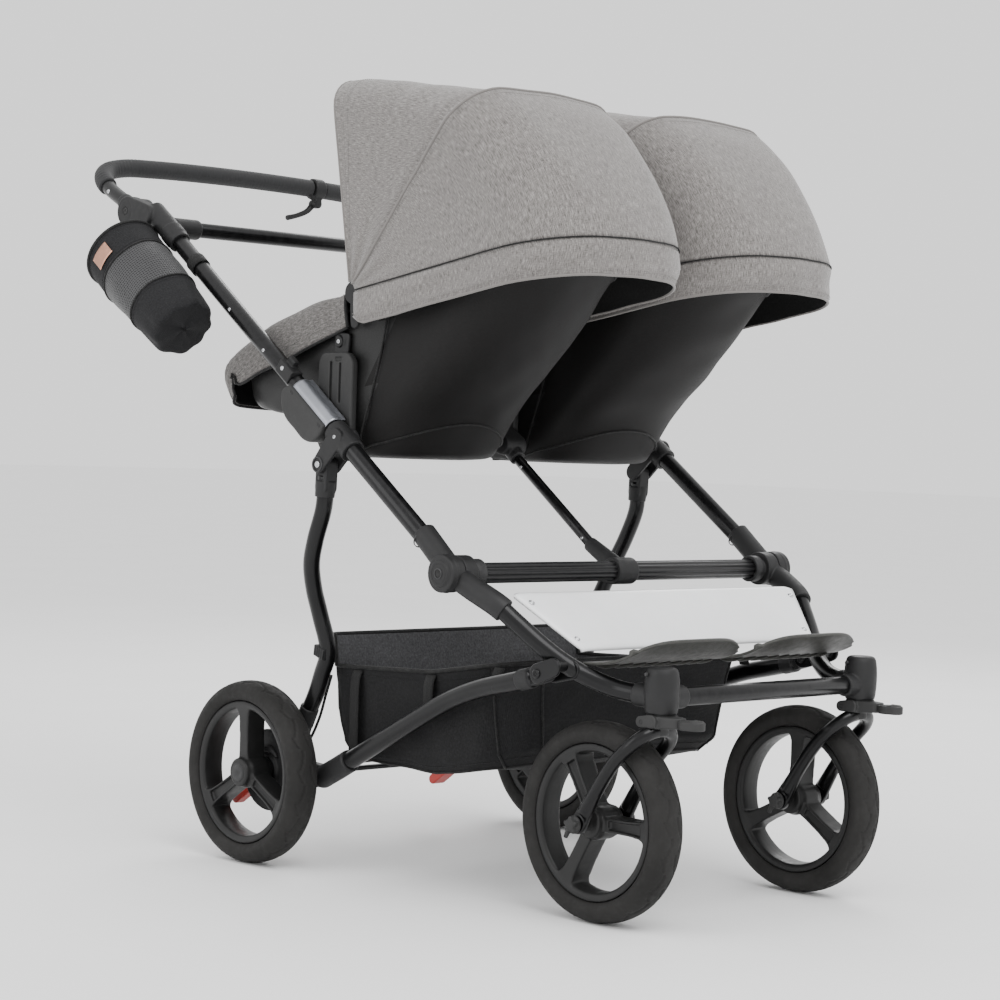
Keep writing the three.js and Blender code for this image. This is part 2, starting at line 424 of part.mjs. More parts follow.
// ---------------------------------------------------------------- rear link, brake, legs, basket
for (const [s, n] of SIDES) {
  const lp = [V(s * 255, -122, 138), V(s * 255, -138.7, 146.5), V(s * 255, -210.5, 184.9), V(s * 255, -299.5, 232.2), V(s * 255, -357, 260.4), V(s * 256, -413.4, 280.3), V(s * 257, -470, 294), V(s * 257, -513.6, 304.5)];
  let low = join(tube(lp, TUBE_R, 7), slotPlate([-508, 304], 11, LINK, 11.5, s * 264.5, s * 249.5));
  low = cut(low, cylX(4.45, s * 280, s * 230, ...LINK, 12));
  node('lower_tube_' + n, low, 'tube');
  const lb = [V(s * 255, -100, 127), V(s * 255, -119, 136.5), V(s * 255, -138.7, 146.5), V(s * 255, -160, 158)];
  let br = join(tube(lb, 16, 3), slotPlate([-106, 130], 15, [0, AXLE_Z], 24.3, s * 264, s * 246, 6),
    slotPlate(LEG_FOOT, 12, [-40, 135], 14, s * 270, s * 264.9), slotPlate(LEG_FOOT, 12, [-40, 135], 14, s * 245.1, s * 240),
    slotPlate([-66, 133], 12, [-14, 130], 14, s * 270, s * 240),
    slotPlate([0, AXLE_Z], 16, BRAKE, 9, s * 246.5, s * 240), cylX(57.5, s * 264, s * 271, 0, AXLE_Z, 24), cylX(6, s * 262, s * 316, 0, AXLE_Z, 12));
  br = cut(br, tube([V(s * 255, -119, 136.5), V(s * 255, -138.7, 146.5), V(s * 255, -210.5, 184.9), V(s * 255, -250, 206)], TUBE_R + 1.2, 5), cylX(4.45, s * 280, s * 235, ...BRAKE, 12));
  node('rear_bracket_' + n, br, 'plastic');
  // rear leg with its top eye in the clevis and a loose lower eye
  const eye = cut(slotPlate(CLEVIS, 11.5, [-151, 534], 11.5, s * 316.6, s * 295.4), cylX(4.5, s * 330, s * 280, ...CLEVIS, 12));
  const legPath = [V(s * 306, -151, 536), V(s * 306, -148, 502), V(s * 304, -130, 458), V(s * 298, -116, 425), V(s * 286, -108, 390), V(s * 270, -104, 352), V(s * 258, -108, 303), V(s * 255, -93.5, 270), V(s * 255, -81, 240), V(s * 255, -62, 207), V(s * 255, -57, 197)];
  let leg = join(eye, tube(legPath, 11.6, 10), slotPlate([-56, 195], 11, LEG_FOOT, 12.5, s * 263.6, s * 246.4));
  leg = cut(leg, cylX(9, s * 280, s * 230, ...LEG_FOOT, 10));
  node('rear_leg_' + n, leg, 'tube');
}
{
  const bar = cylX(4, -263, 263, ...BRAKE, 12);
  const near = slotPlate(BRAKE, 8, [84, 76], 7.5, -263, -247.5), far = slotPlate(BRAKE, 8, [80, 77], 7, 112, 136);
  node('brake_bar', join(bar, near, far), 'red');
}
// basket: open tub with a tall rear wall
{
  const side = k => poly([[-84 - k, 336], [-96 - k, 270], [-112 - k * 1.2, 182 + k], [-140 - k * 0.4, 156 + k], [-300, 154 + k], [-408 + k * 0.4, 172 + k], [-438 + k, 196 + k], [-466 + k, 336]]);
  const outer = extrudeX(side(0), -236, 236), inner = extrudeX(side(5), -231, 231);
  const above = extrudeX(poly([[-102, 400], [-102, 280], [-300, 290], [-480, 322], [-480, 400]]), -260, 260);
  const tops = extrudeX(poly([[-60, 400], [-60, 326], [-480, 326], [-480, 400]]), -260, 260);
  const corner = (x0, x1) => { const g = new THREE.ExtrudeGeometry(poly([[x0, -480], [x1, -480], [x1, -425]]), { depth: 300, bevelEnabled: false }); g.translate(0, 0, 120); return M(g); };
  const cornerI = (x0, x1) => { const g = new THREE.ExtrudeGeometry(poly([[x0, -480], [x1, -480], [x1, -417]]), { depth: 300, bevelEnabled: false }); g.translate(0, 0, 120); return M(g); };
  const o2 = cut(outer, corner(-185, -240), corner(185, 240)), i2 = cut(inner, cornerI(-178, -240), cornerI(178, 240));
  node('basket', cut(o2, i2, extrudeX(poly([[-60, 400], [-60, 326], [-480, 326], [-480, 400]]), -260, 260), above), 'bag');
}

// ---------------------------------------------------------------- seats
function dRing(z, hw, yf, ys, ym, cx) {
  const r = [];
  r.push(V(cx - hw, yf, z), V(cx - hw, (yf + ys) / 2, z));
  const k = 6;
  for (let i = 0; i <= k; i++) {
    const a = Math.PI * (i / k), c = Math.cos(a), sn = Math.sin(a);
    const ex = Math.sign(c) * Math.pow(Math.abs(c), 0.85), ey = Math.pow(sn, 0.85);
    r.push(V(cx - hw * ex, ys + (ym - ys) * ey, z));
  }
  r.push(V(cx + hw, (yf + ys) / 2, z), V(cx + hw, yf, z));
  return r;
}
const RINGS = [[573, 112, -80, -180, -240], [618, 117, -52, -205, -272], [634, 117, 70, -216, -286], [646, 117, 90, -224, -300], [705, 117, 104, -268, -374], [760, 117, 104, -308, -430], [850, 117, 104, -384, -505]];
for (const [s, n] of SIDES) {
  const cx = s * SEAT_X;
  const rim = extrudeX(poly([[-640, 832], [-495, 830], [-176, 780], [60, 716], [130, 690], [130, 900], [-640, 900]]), cx - 150, cx + 150);
  const outer = loft(RINGS.map(q => dRing(q[0], q[1], q[2], q[3], q[4], cx)));
  const w = 5;
  const IN = [[600, 117, -74, -198, -264], [618, 117, -58, -205, -272], [650, 117, 80, -224, -300], [705, 117, 104, -268, -374], [760, 117, 104, -308, -430], [860, 117, 104, -390, -512]];
  const inner = loft(IN.map(q => dRing(q[0], q[1] - w, q[2] - w, q[3] + w, q[4] + w + 2, cx)));
  const post = [s * 288.2, s * 276.5];
  const frameBar = cylX(5, s * 284, s * 28, -140, 586, 12);
  node('seat_shell_' + n, cut(outer, inner, rim, cylX(5.9, s * 290, s * 20, -140, 586, 14)), 'shell');
  const outerPost = extrudeX(poly([[-104, 700], [-112, 712], [-166, 712], [-176, 700], [-176, 596], [-164, 574], [-120, 574], [-104, 596]]), Math.min(...post), Math.max(...post));
  const innerPost = extrudeX(poly([[-112, 700], [-118, 708], [-160, 708], [-168, 700], [-168, 596], [-158, 574], [-122, 574], [-112, 596]]), Math.min(s * 34, s * 22.5), Math.max(s * 34, s * 22.5));
  node('seat_frame_' + n, join(outerPost, innerPost, frameBar), 'plastic');
  // leg cover: an apron over the foot end with side skirts
  const st = [[-150, 797, 52], [-66, 781, 62], [-2, 762, 66], [56, 737, 58], [100, 714, 46], [122, 694, 34], [125, 672, 26], [112, 650, 18], [96, 637, 10]];
  const tang = st.map((q, i) => { const p = st[Math.max(i - 1, 0)], r = st[Math.min(i + 1, st.length - 1)]; const L = Math.hypot(r[0] - p[0], r[1] - p[1]); return [(r[0] - p[0]) / L, (r[1] - p[1]) / L]; });
  const grid = (hw, off) => st.map((q, i) => {
    const [ty, tz] = tang[i], ny = tz, nz = -ty;   // inward normal
    const P = (x, d) => V(cx + x, q[0] + ny * (d + off), q[1] + nz * (d + off));
    const row = [];
    for (const k of [-1, 1]) {
      const leg = [[hw, q[2] - off], [hw, 16], [hw - 5, 5], [hw - 18, 0], [hw * 0.45, -3]];
      const part = leg.map(([x, d]) => P(k * x, d));
      if (k < 0) row.push(...part, P(0, -4)); else row.push(...part.reverse());
    }
    return row;
  });
  node('leg_cover_' + n, sheet(grid(128, 0), grid(124, 4)), 'melange');

  // hood: two nested shells around the pivot, the front one folding into the back one
  const bow = (th, W, R, c, off) => {
    const t = (th * Math.PI) / 180, pts = [], Wi = W - off, Ri = R - off, ci = Math.max(c - off, 8);
    const P = (x, r) => V(cx + x, HOOD[0] - Math.sin(t) * r, HOOD[1] + Math.cos(t) * r);
    const crown = 3;
    for (const k of [-1, 1]) {
      const half = [[Wi, 14], [Wi, (Ri - ci + 14) / 2], [Wi, Ri - ci]];
      for (let i = 1; i <= 3; i++) { const a = (Math.PI / 2) * (i / 3); half.push([Wi - ci * (1 - Math.cos(a)), Ri - ci + ci * Math.sin(a)]); }
      half.push([(Wi - ci) * 0.45, Ri + crown * 0.8]);
      const row = half.map(([x, r]) => P(k * x, r));
      if (k < 0) pts.push(...row, P(0, Ri + crown)); else pts.push(...row.reverse());
    }
    return pts;
  };
  const T = 3.2;
  const F = [[-7.5, 296, 42], [16, 289, 50], [40.2, 334, 64]];
  node('hood_front_' + n, sheet(F.map(q => bow(q[0], HOOD_W - 4.2, q[1], q[2], 0)), F.map(q => bow(q[0], HOOD_W - 4.2, q[1], q[2], T))), 'melange');
  const B = [[40.8, 344, 66], [55, 363, 80], [69, 384, 96], [80, 400, 110]];
  const back = off => {
    const rows = B.map(q => bow(q[0], HOOD_W, q[1], q[2], off));
    const last = rows[rows.length - 1];
    for (const [dz, k] of [[-22, 1.004], [-46, 0.99]]) rows.push(last.map(p => V(cx + (p.x - cx) * k, HOOD[0] + (p.y - HOOD[0]) * k, p.z + dz - off * 0.0)));
    return rows;
  };
  node('hood_back_' + n, sheet(back(0), back(T)), 'melange');
}

export default stroller;
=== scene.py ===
import math
import bpy
import bmesh
import numpy as np
from mathutils import Matrix, Vector


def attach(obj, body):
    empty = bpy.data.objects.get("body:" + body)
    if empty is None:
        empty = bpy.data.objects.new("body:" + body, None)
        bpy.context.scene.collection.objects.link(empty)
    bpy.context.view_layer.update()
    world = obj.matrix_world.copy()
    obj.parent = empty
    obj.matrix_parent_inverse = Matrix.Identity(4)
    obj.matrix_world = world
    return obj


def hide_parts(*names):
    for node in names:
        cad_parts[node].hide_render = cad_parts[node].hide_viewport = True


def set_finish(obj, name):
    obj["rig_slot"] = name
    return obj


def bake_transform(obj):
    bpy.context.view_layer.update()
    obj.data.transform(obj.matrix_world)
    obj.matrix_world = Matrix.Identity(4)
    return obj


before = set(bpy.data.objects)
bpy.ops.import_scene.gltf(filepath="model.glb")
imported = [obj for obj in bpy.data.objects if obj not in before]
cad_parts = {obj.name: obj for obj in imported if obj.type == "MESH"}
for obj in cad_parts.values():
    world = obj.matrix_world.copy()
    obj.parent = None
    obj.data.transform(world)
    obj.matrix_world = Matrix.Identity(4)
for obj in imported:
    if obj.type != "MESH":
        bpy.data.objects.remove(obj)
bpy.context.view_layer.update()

SH = np.array([37.5, 134.15, 0.0])
rng = np.random.default_rng(7)


def W(p):
    return (np.asarray(p, float) + SH) / 1000.0


# ------------------------------------------------------------------ materials
def nodes_of(name):
    m = bpy.data.materials.new(name)
    m.use_nodes = True
    nt = m.node_tree
    bsdf = nt.nodes["Principled BSDF"]
    return m, nt, bsdf


def N(nt, kind, **kw):
    n = nt.nodes.new(kind)
    for k, v in kw.items():
        if k in n.inputs:
            n.inputs[k].default_value = v
        else:
            setattr(n, k, v)
    return n


def ramp(nt, fac, stops):
    r = nt.nodes.new("ShaderNodeValToRGB")
    el = r.color_ramp.elements
    while len(el) < len(stops):
        el.new(0.5)
    for e, (p, c) in zip(el, stops):
        e.position = p
        e.color = (*c, 1) if len(c) == 3 else c
    nt.links.new(fac, r.inputs["Fac"])
    return r.outputs["Color"]


def maprange(nt, fac, lo, hi, a=0.0, b=1.0):
    n = N(nt, "ShaderNodeMapRange")
    n.inputs["From Min"].default_value = a
    n.inputs["From Max"].default_value = b
    n.inputs["To Min"].default_value = lo
    n.inputs["To Max"].default_value = hi
    nt.links.new(fac, n.inputs["Value"])
    return n.outputs["Result"]


def coords(nt, uv, scale):
    tc = nt.nodes.new("ShaderNodeTexCoord")
    mp = nt.nodes.new("ShaderNodeMapping")
    mp.inputs["Scale"].default_value = scale
    nt.links.new(tc.outputs["UV" if uv else "Object"], mp.inputs["Vector"])
    return mp.outputs["Vector"]


def noise(nt, vec, scale, detail=3.0, rough=0.55):
    n = N(nt, "ShaderNodeTexNoise")
    n.inputs["Scale"].default_value = scale
    n.inputs["Detail"].default_value = detail
    n.inputs["Roughness"].default_value = rough
    nt.links.new(vec, n.inputs["Vector"])
    return n.outputs["Fac"]


def mix(nt, a, b, fac, blend="MIX"):
    n = nt.nodes.new("ShaderNodeMix")
    n.data_type = "RGBA"
    n.blend_type = blend
    for sock, v in ((n.inputs[6], a), (n.inputs[7], b)):
        if isinstance(v, tuple):
            sock.default_value = (*v, 1) if len(v) == 3 else v
        else:
            nt.links.new(v, sock)
    if isinstance(fac, float):
        n.inputs[0].default_value = fac
    else:
        nt.links.new(fac, n.inputs[0])
    return n.outputs[2]


def bump(nt, bsdf, height, strength, dist, prev=None):
    b = nt.nodes.new("ShaderNodeBump")
    b.inputs["Strength"].default_value = strength
    b.inputs["Distance"].default_value = dist
    nt.links.new(height, b.inputs["Height"])
    if prev is not None:
        nt.links.new(prev, b.inputs["Normal"])
    nt.links.new(b.outputs["Normal"], bsdf.inputs["Normal"])
    return b.outputs["Normal"]


def hard(name, base, rough, metal=0.0, coat=0.0, grain=900.0, grain_s=0.12, vary=0.25, wear=None, spec=0.5, stretch=(1, 1, 1)):
    """paint, metal or moulding: colour drift, rubbed edges, roughness drift and a fine grain"""
    m, nt, b = nodes_of(name)
    v = coords(nt, False, stretch)
    big = noise(nt, v, 14.0, 4.0)
    fine = noise(nt, v, grain, 2.0)
    mid = noise(nt, v, 120.0, 4.0, 0.65)
    c0 = tuple(x * (1 - vary) for x in base)
    c1 = tuple(min(1, x * (1 + vary)) for x in base)
    col = ramp(nt, big, [(0.3, c0), (0.7, c1)])
    col = mix(nt, col, tuple(min(1, x * 1.35 + 0.002) for x in base), maprange(nt, mid, 0, 0.35, 0.5, 0.8))
    geo = nt.nodes.new("ShaderNodeNewGeometry")
    edge = maprange(nt, geo.outputs["Pointiness"], 0, 1, 0.53, 0.62)
    w = wear or tuple(min(1, x * 1.9 + 0.012) for x in base)
    em = N(nt, "ShaderNodeMath", operation="MULTIPLY")
    nt.links.new(edge, em.inputs[0])
    nt.links.new(maprange(nt, mid, 0.1, 0.7, 0.35, 0.7), em.inputs[1])
    col = mix(nt, col, w, em.outputs[0])
    nt.links.new(col, b.inputs["Base Color"])
    nt.links.new(maprange(nt, mid, rough * 0.82, min(1, rough * 1.2), 0.3, 0.7), b.inputs["Roughness"])
    b.inputs["Metallic"].default_value = metal
    b.inputs["Coat Weight"].default_value = coat
    b.inputs["Coat Roughness"].default_value = 0.18
    b.inputs["Specular IOR Level"].default_value = spec * 0.55
    bump(nt, b, fine, grain_s, 0.0003)
    return m


def fabric(name, dark, midc, light, yarn=(760.0, 130.0), weave=1400.0, rough=0.9, sheen=0.25, bump_s=0.35, uv=True, spec=0.25, tint=None, sheen_rough=0.5):
    """woven cloth: streaks of yarn colour, a plain weave and a soft nap"""
    m, nt, b = nodes_of(name)
    v = coords(nt, uv, (1, 1, 1))
    vs = coords(nt, uv, (yarn[0], yarn[1], yarn[1] if not uv else 1))
    vt = coords(nt, uv, (yarn[1] * 1.4, yarn[0] * 1.4, yarn[0] if not uv else 1))
    a = noise(nt, vs, 1.0, 3.0, 0.7)
    a2 = noise(nt, vt, 1.0, 2.0, 0.6)
    big = noise(nt, v, 22.0, 4.0, 0.6)
    s = N(nt, "ShaderNodeMath", operation="MULTIPLY_ADD")
    nt.links.new(a, s.inputs[0])
    s.inputs[1].default_value = 0.72
    s3 = N(nt, "ShaderNodeMath", operation="MULTIPLY")
    nt.links.new(a2, s3.inputs[0])
    s3.inputs[1].default_value = 0.28
    nt.links.new(s3.outputs[0], s.inputs[2])
    col = ramp(nt, s.outputs[0], [(0.34, dark), (0.5, midc), (0.68, light)])
    if tint:
        col = mix(nt, col, tint, maprange(nt, big, 0, 0.5, 0.42, 0.72), "MULTIPLY")
    nt.links.new(col, b.inputs["Base Color"])
    b.inputs["Roughness"].default_value = rough
    nt.links.new(maprange(nt, a, rough * 0.9, min(1, rough * 1.08)), b.inputs["Roughness"])
    b.inputs["Sheen Weight"].default_value = sheen if midc[0] > 0.1 else sheen * 0.12
    b.inputs["Sheen Roughness"].default_value = sheen_rough
    b.inputs["Specular IOR Level"].default_value = spec * 0.55
    w1 = N(nt, "ShaderNodeTexWave", wave_type="BANDS", bands_direction="X")
    w1.inputs["Scale"].default_value = weave / 6.0
    w1.inputs["Distortion"].default_value = 0.4
    w2 = N(nt, "ShaderNodeTexWave", wave_type="BANDS", bands_direction="Y")
    w2.inputs["Scale"].default_value = weave / 6.0
    w2.inputs["Distortion"].default_value = 0.4
    for w in (w1, w2):
        nt.links.new(v, w.inputs["Vector"])
    mm = N(nt, "ShaderNodeMath", operation="ADD")
    nt.links.new(w1.outputs["Fac"], mm.inputs[0])
    nt.links.new(w2.outputs["Fac"], mm.inputs[1])
    p = bump(nt, b, mm.outputs[0], bump_s, 0.0004)
    bump(nt, b, a, bump_s * 0.8, 0.0006, p)
    return m


M = {}
M["tube"] = hard("powder_coat_black", (0.0060, 0.0060, 0.0065), 0.33, 0.55, 0.25, grain=1500, grain_s=0.10, vary=0.18, wear=(0.05, 0.05, 0.052))
M["plastic"] = hard("plastic_dark", (0.0150, 0.0150, 0.0155), 0.52, 0.0, 0.0, grain=1900, grain_s=0.22, vary=0.16, wear=(0.075, 0.075, 0.077))
M["plastic_mid"] = hard("plastic_charcoal", (0.0270, 0.0270, 0.0270), 0.55, 0.0, 0.0, grain=1900, grain_s=0.22, vary=0.14, wear=(0.1, 0.1, 0.1))
M["gloss"] = hard("plastic_satin_black", (0.0070, 0.0070, 0.0075), 0.34, 0.0, 0.1, grain=1300, grain_s=0.07, vary=0.2, wear=(0.05, 0.05, 0.052))
M["rim"] = hard("rim_plastic", (0.0121, 0.0121, 0.0121), 0.40, 0.0, 0.0, grain=1300, grain_s=0.10, vary=0.2, wear=(0.06, 0.06, 0.06))
M["tyre"] = hard("tyre_rubber", (0.0186, 0.0180, 0.0174), 0.72, 0.0, 0.0, grain=700, grain_s=0.20, vary=0.28, wear=(0.065, 0.063, 0.06), spec=0.35)
M["foot"] = hard("footplate_plastic", (0.0315, 0.0315, 0.0285), 0.46, 0.0, 0.0, grain=1700, grain_s=0.2, vary=0.14, wear=(0.09, 0.09, 0.085))
M["panel"] = hard("panel_white", (0.94, 0.95, 0.96), 0.33, 0.0, 0.2, grain=500, grain_s=0.03, vary=0.03, wear=(0.9, 0.9, 0.9))
M["steel"] = hard("screw_steel", (0.55, 0.56, 0.58), 0.28, 1.0, 0.0, grain=2500, grain_s=0.15, vary=0.12, stretch=(1, 1, 6))
M["saddle"] = hard("cast_saddle", (0.30, 0.31, 0.34), 0.34, 0.85, 0.0, grain=420, grain_s=0.30, vary=0.2, wear=(0.6, 0.61, 0.63))
M["red"] = hard("pedal_red", (0.42, 0.035, 0.028), 0.42, 0.0, 0.1, grain=1500, grain_s=0.12, vary=0.15, wear=(0.6, 0.12, 0.1))
M["copper"] = hard("label_copper", (0.50, 0.27, 0.19), 0.36, 0.85, 0.0, grain=1400, grain_s=0.2, vary=0.12)
M["rubber"] = hard("rubber_black", (0.0120, 0.0120, 0.0120), 0.7, 0.0, 0.0, grain=1100, grain_s=0.25, vary=0.2)


def grip_mat():
    m, nt, b = nodes_of("foam_grip")
    v = coords(nt, True, (1, 1, 1))
    vs = coords(nt, True, (90.0, 520.0, 1))
    a = noise(nt, vs, 1.0, 4.0, 0.7)
    f = noise(nt, v, 1700.0, 2.0)
    col = ramp(nt, a, [(0.35, (0.0050, 0.0050, 0.0055)), (0.7, (0.0180, 0.0185, 0.0200))])
    nt.links.new(col, b.inputs["Base Color"])
    nt.links.new(maprange(nt, a, 0.62, 0.85), b.inputs["Roughness"])
    b.inputs["Sheen Weight"].default_value = 0.02
    p = bump(nt, b, a, 0.6, 0.0009)
    bump(nt, b, f, 0.3, 0.0002, p)
    return m


M["grip"] = grip_mat()
M["melange"] = fabric("canopy_melange", (0.060, 0.055, 0.051), (0.172, 0.161, 0.153), (0.345, 0.328, 0.315), yarn=(900.0, 105.0), weave=1500, rough=0.92, sheen=0.35, bump_s=0.3, tint=(0.90, 0.88, 0.90))
M["melange_dark"] = fabric("apron_melange", (0.036, 0.033, 0.031), (0.108, 0.101, 0.096), (0.235, 0.224, 0.215), yarn=(560.0, 120.0), weave=1400, rough=0.93, sheen=0.3, bump_s=0.35, tint=(0.9, 0.88, 0.9))
M["shell"] = fabric("seat_black", (0.0028, 0.0025, 0.0025), (0.0048, 0.0043, 0.0043), (0.009, 0.0082, 0.0082), yarn=(500.0, 260.0), weave=1700, rough=0.62, sheen=0.10, bump_s=0.18, spec=0.4)
M["shell_sheen"] = fabric("seat_black_coated", (0.0075, 0.0075, 0.0075), (0.012, 0.012, 0.012), (0.018, 0.018, 0.018), yarn=(420.0, 240.0), weave=1700, rough=0.36, sheen=0.1, bump_s=0.12, spec=0.5)
M["lining"] = fabric("lining_black", (0.006, 0.006, 0.006), (0.011, 0.011, 0.011), (0.018, 0.018, 0.018), yarn=(520.0, 240.0), weave=1500, rough=0.75, sheen=0.15, bump_s=0.25)
M["bag"] = fabric("basket_black", (0.0065, 0.0065, 0.0068), (0.0115, 0.0115, 0.012), (0.019, 0.019, 0.020), yarn=(420.0, 330.0), weave=1100, rough=0.78, sheen=0.2, bump_s=0.4, uv=False)
M["bag_uv"] = fabric("pouch_black", (0.008, 0.008, 0.0085), (0.015, 0.015, 0.016), (0.026, 0.026, 0.028), yarn=(420.0, 330.0), weave=1100, rough=0.75, sheen=0.2, bump_s=0.4, uv=True)
M["lining_grey"] = fabric("basket_lining", (0.035, 0.035, 0.037), (0.060, 0.060, 0.063), (0.095, 0.095, 0.1), yarn=(380.0, 300.0), weave=900, rough=0.55, sheen=0.2, bump_s=0.3, uv=False)
M["thread"] = fabric("thread_grey", (0.11, 0.105, 0.1), (0.2, 0.19, 0.18), (0.3, 0.29, 0.28), uv=False, weave=2500, bump_s=0.3)
M["thread_black"] = fabric("thread_black", (0.012, 0.012, 0.012), (0.024, 0.024, 0.025), (0.04, 0.04, 0.042), uv=False, weave=2500, bump_s=0.3)
M["piping"] = fabric("piping_black", (0.006, 0.006, 0.006), (0.014, 0.014, 0.014), (0.03, 0.03, 0.03), uv=False, weave=2200, rough=0.55, bump_s=0.3)
M["piping_grey"] = fabric("piping_grey", (0.022, 0.020, 0.019), (0.050, 0.046, 0.044), (0.10, 0.095, 0.09), uv=False, weave=2200, rough=0.85, bump_s=0.3)
M["webbing"] = fabric("webbing_black", (0.008, 0.008, 0.008), (0.018, 0.018, 0.018), (0.034, 0.034, 0.034), uv=True, yarn=(300, 1200), weave=2600, rough=0.6, bump_s=0.6)
M["pad"] = fabric("pad_grey", (0.13, 0.125, 0.12), (0.235, 0.225, 0.215), (0.36, 0.345, 0.335), yarn=(600.0, 140.0), weave=1200, rough=0.92, sheen=0.35, bump_s=0.4, uv=False)


def net_mat():
    m, nt, b = nodes_of("net_black")
    v = coords(nt, True, (1, 1, 1))
    vo = N(nt, "ShaderNodeTexVoronoi", feature="DISTANCE_TO_EDGE")
    vo.inputs["Scale"].default_value = 260.0
    vo.inputs["Randomness"].default_value = 0.12
    nt.links.new(v, vo.inputs["Vector"])
    hole = maprange(nt, vo.outputs["Distance"], 0, 1, 0.16, 0.3)
    col = mix(nt, (0.030, 0.030, 0.032), (0.0035, 0.0035, 0.0035), hole)
    nt.links.new(col, b.inputs["Base Color"])
    nt.links.new(maprange(nt, hole, 0.5, 0.95), b.inputs["Roughness"])
    b.inputs["Sheen Weight"].default_value = 0.15
    inv = maprange(nt, vo.outputs["Distance"], 1, 0, 0.1, 0.35)
    bump(nt, b, inv, 0.8, 0.0009)
    return m


M["net"] = net_mat()


# ------------------------------------------------------------------ shapes, in working millimetres
def catmull(pts, n, closed=False):
    """centripetal Catmull-Rom through pts, resampled to n points even along its length"""
    P = [np.asarray(p, float) for p in pts]
    if closed:
        P = [P[-1]] + P + [P[0], P[1]]
    else:
        P = [2 * P[0] - P[1]] + P + [2 * P[-1] - P[-2]]
    out = []
    for i in range(1, len(P) - 2):
        p0, p1, p2, p3 = P[i - 1], P[i], P[i + 1], P[i + 2]
        t0 = 0.0
        t1 = t0 + max(np.linalg.norm(p1 - p0), 1e-6) ** 0.5
        t2 = t1 + max(np.linalg.norm(p2 - p1), 1e-6) ** 0.5
        t3 = t2 + max(np.linalg.norm(p3 - p2), 1e-6) ** 0.5
        for t in np.linspace(t1, t2, 24, endpoint=False):
            a1 = (t1 - t) / (t1 - t0) * p0 + (t - t0) / (t1 - t0) * p1
            a2 = (t2 - t) / (t2 - t1) * p1 + (t - t1) / (t2 - t1) * p2
            a3 = (t3 - t) / (t3 - t2) * p2 + (t - t2) / (t3 - t2) * p3
            b1 = (t2 - t) / (t2 - t0) * a1 + (t - t0) / (t2 - t0) * a2
            b2 = (t3 - t) / (t3 - t1) * a2 + (t - t1) / (t3 - t1) * a3
            out.append((t2 - t) / (t2 - t1) * b1 + (t - t1) / (t2 - t1) * b2)
    out.append(P[-2])
    return even(np.array(out), n)


def even(out, n):
    out = np.asarray(out, float)
    d = np.r_[0, np.cumsum(np.linalg.norm(np.diff(out, axis=0), axis=1))]
    s = np.linspace(0, d[-1], n)
    return np.stack([np.interp(s, d, out[:, k]) for k in range(out.shape[1])], 1)


def length(c):
    return float(np.linalg.norm(np.diff(c, axis=0), axis=1).sum())


def sweep(pts, r, n=24, step=4.0, raw=False, radii=None, ends=True, closed=False):
    """round tube along a path, closed at both ends by flat caps unless ends is False. Returns (verts, faces)"""
    c = np.asarray(pts, float) if raw else catmull(pts, max(4, int(length(np.asarray(pts, float)) / step) + 2), closed)
    m = len(c)
    T = np.gradient(c, axis=0)
    T /= np.linalg.norm(T, axis=1)[:, None]
    up = np.array([0, 0, 1.0]) if abs(T[0][2]) < 0.9 else np.array([1.0, 0, 0])
    n0 = np.cross(T[0], up)
    n0 /= np.linalg.norm(n0)
    V, uv = [], []
    a = np.linspace(0, 2 * math.pi, n, endpoint=False)
    L = np.r_[0, np.cumsum(np.linalg.norm(np.diff(c, axis=0), axis=1))]
    rr = np.full(m, r, float) if radii is None else np.interp(L / L[-1], np.linspace(0, 1, len(radii)), radii)
    for i in range(m):
        n0 = n0 - T[i] * np.dot(n0, T[i])
        n0 /= np.linalg.norm(n0)
        b0 = np.cross(T[i], n0)
        V.append(c[i] + rr[i] * (np.cos(a)[:, None] * n0 + np.sin(a)[:, None] * b0))
        uv.append((L[i], rr[i]))
    F = []
    for i in range(m - 1):
        for j in range(n):
            F.append((i * n + j, i * n + (j + 1) % n, (i + 1) * n + (j + 1) % n, (i + 1) * n + j))
    V = np.concatenate(V)
    if ends:
        k = len(V)
        V = np.concatenate([V, [c[0]], [c[-1]]])
        for j in range(n):
            F.append((k, (j + 1) % n, j))
            F.append((k + 1, (m - 1) * n + j, (m - 1) * n + (j + 1) % n))
    return V, F


def grid_faces(m, n, closed_u=False, flip=False, off=0):
    F = []
    for i in range(m - 1):
        for j in range(n if closed_u else n - 1):
            q = (off + i * n + j, off + i * n + (j + 1) % n, off + (i + 1) * n + (j + 1) % n, off + (i + 1) * n + j)
            F.append(q[::-1] if flip else q)
    return F


def lathe(prof, n=48, axis=(0, 0, 1), at=(0, 0, 0), closed=False):
    """profile of (radius, height) turned about an axis through 'at'"""
    prof = np.asarray(prof, float)
    ax = np.asarray(axis, float)
    ax /= np.linalg.norm(ax)
    e = np.array([1.0, 0, 0]) if abs(ax[0]) < 0.9 else np.array([0, 1.0, 0])
    u = np.cross(ax, e)
    u /= np.linalg.norm(u)
    v = np.cross(ax, u)
    a = np.linspace(0, 2 * math.pi, n, endpoint=False)
    V, m = [], len(prof)
    for r, h in prof:
        V.append(np.asarray(at) + ax * h + r * (np.cos(a)[:, None] * u + np.sin(a)[:, None] * v))
    V = np.concatenate(V)
    F = []
    mm = m if closed else m - 1
    for i in range(mm):
        for j in range(n):
            k = (i + 1) % m
            F.append((i * n + j, i * n + (j + 1) % n, k * n + (j + 1) % n, k * n + j))
    return V, F


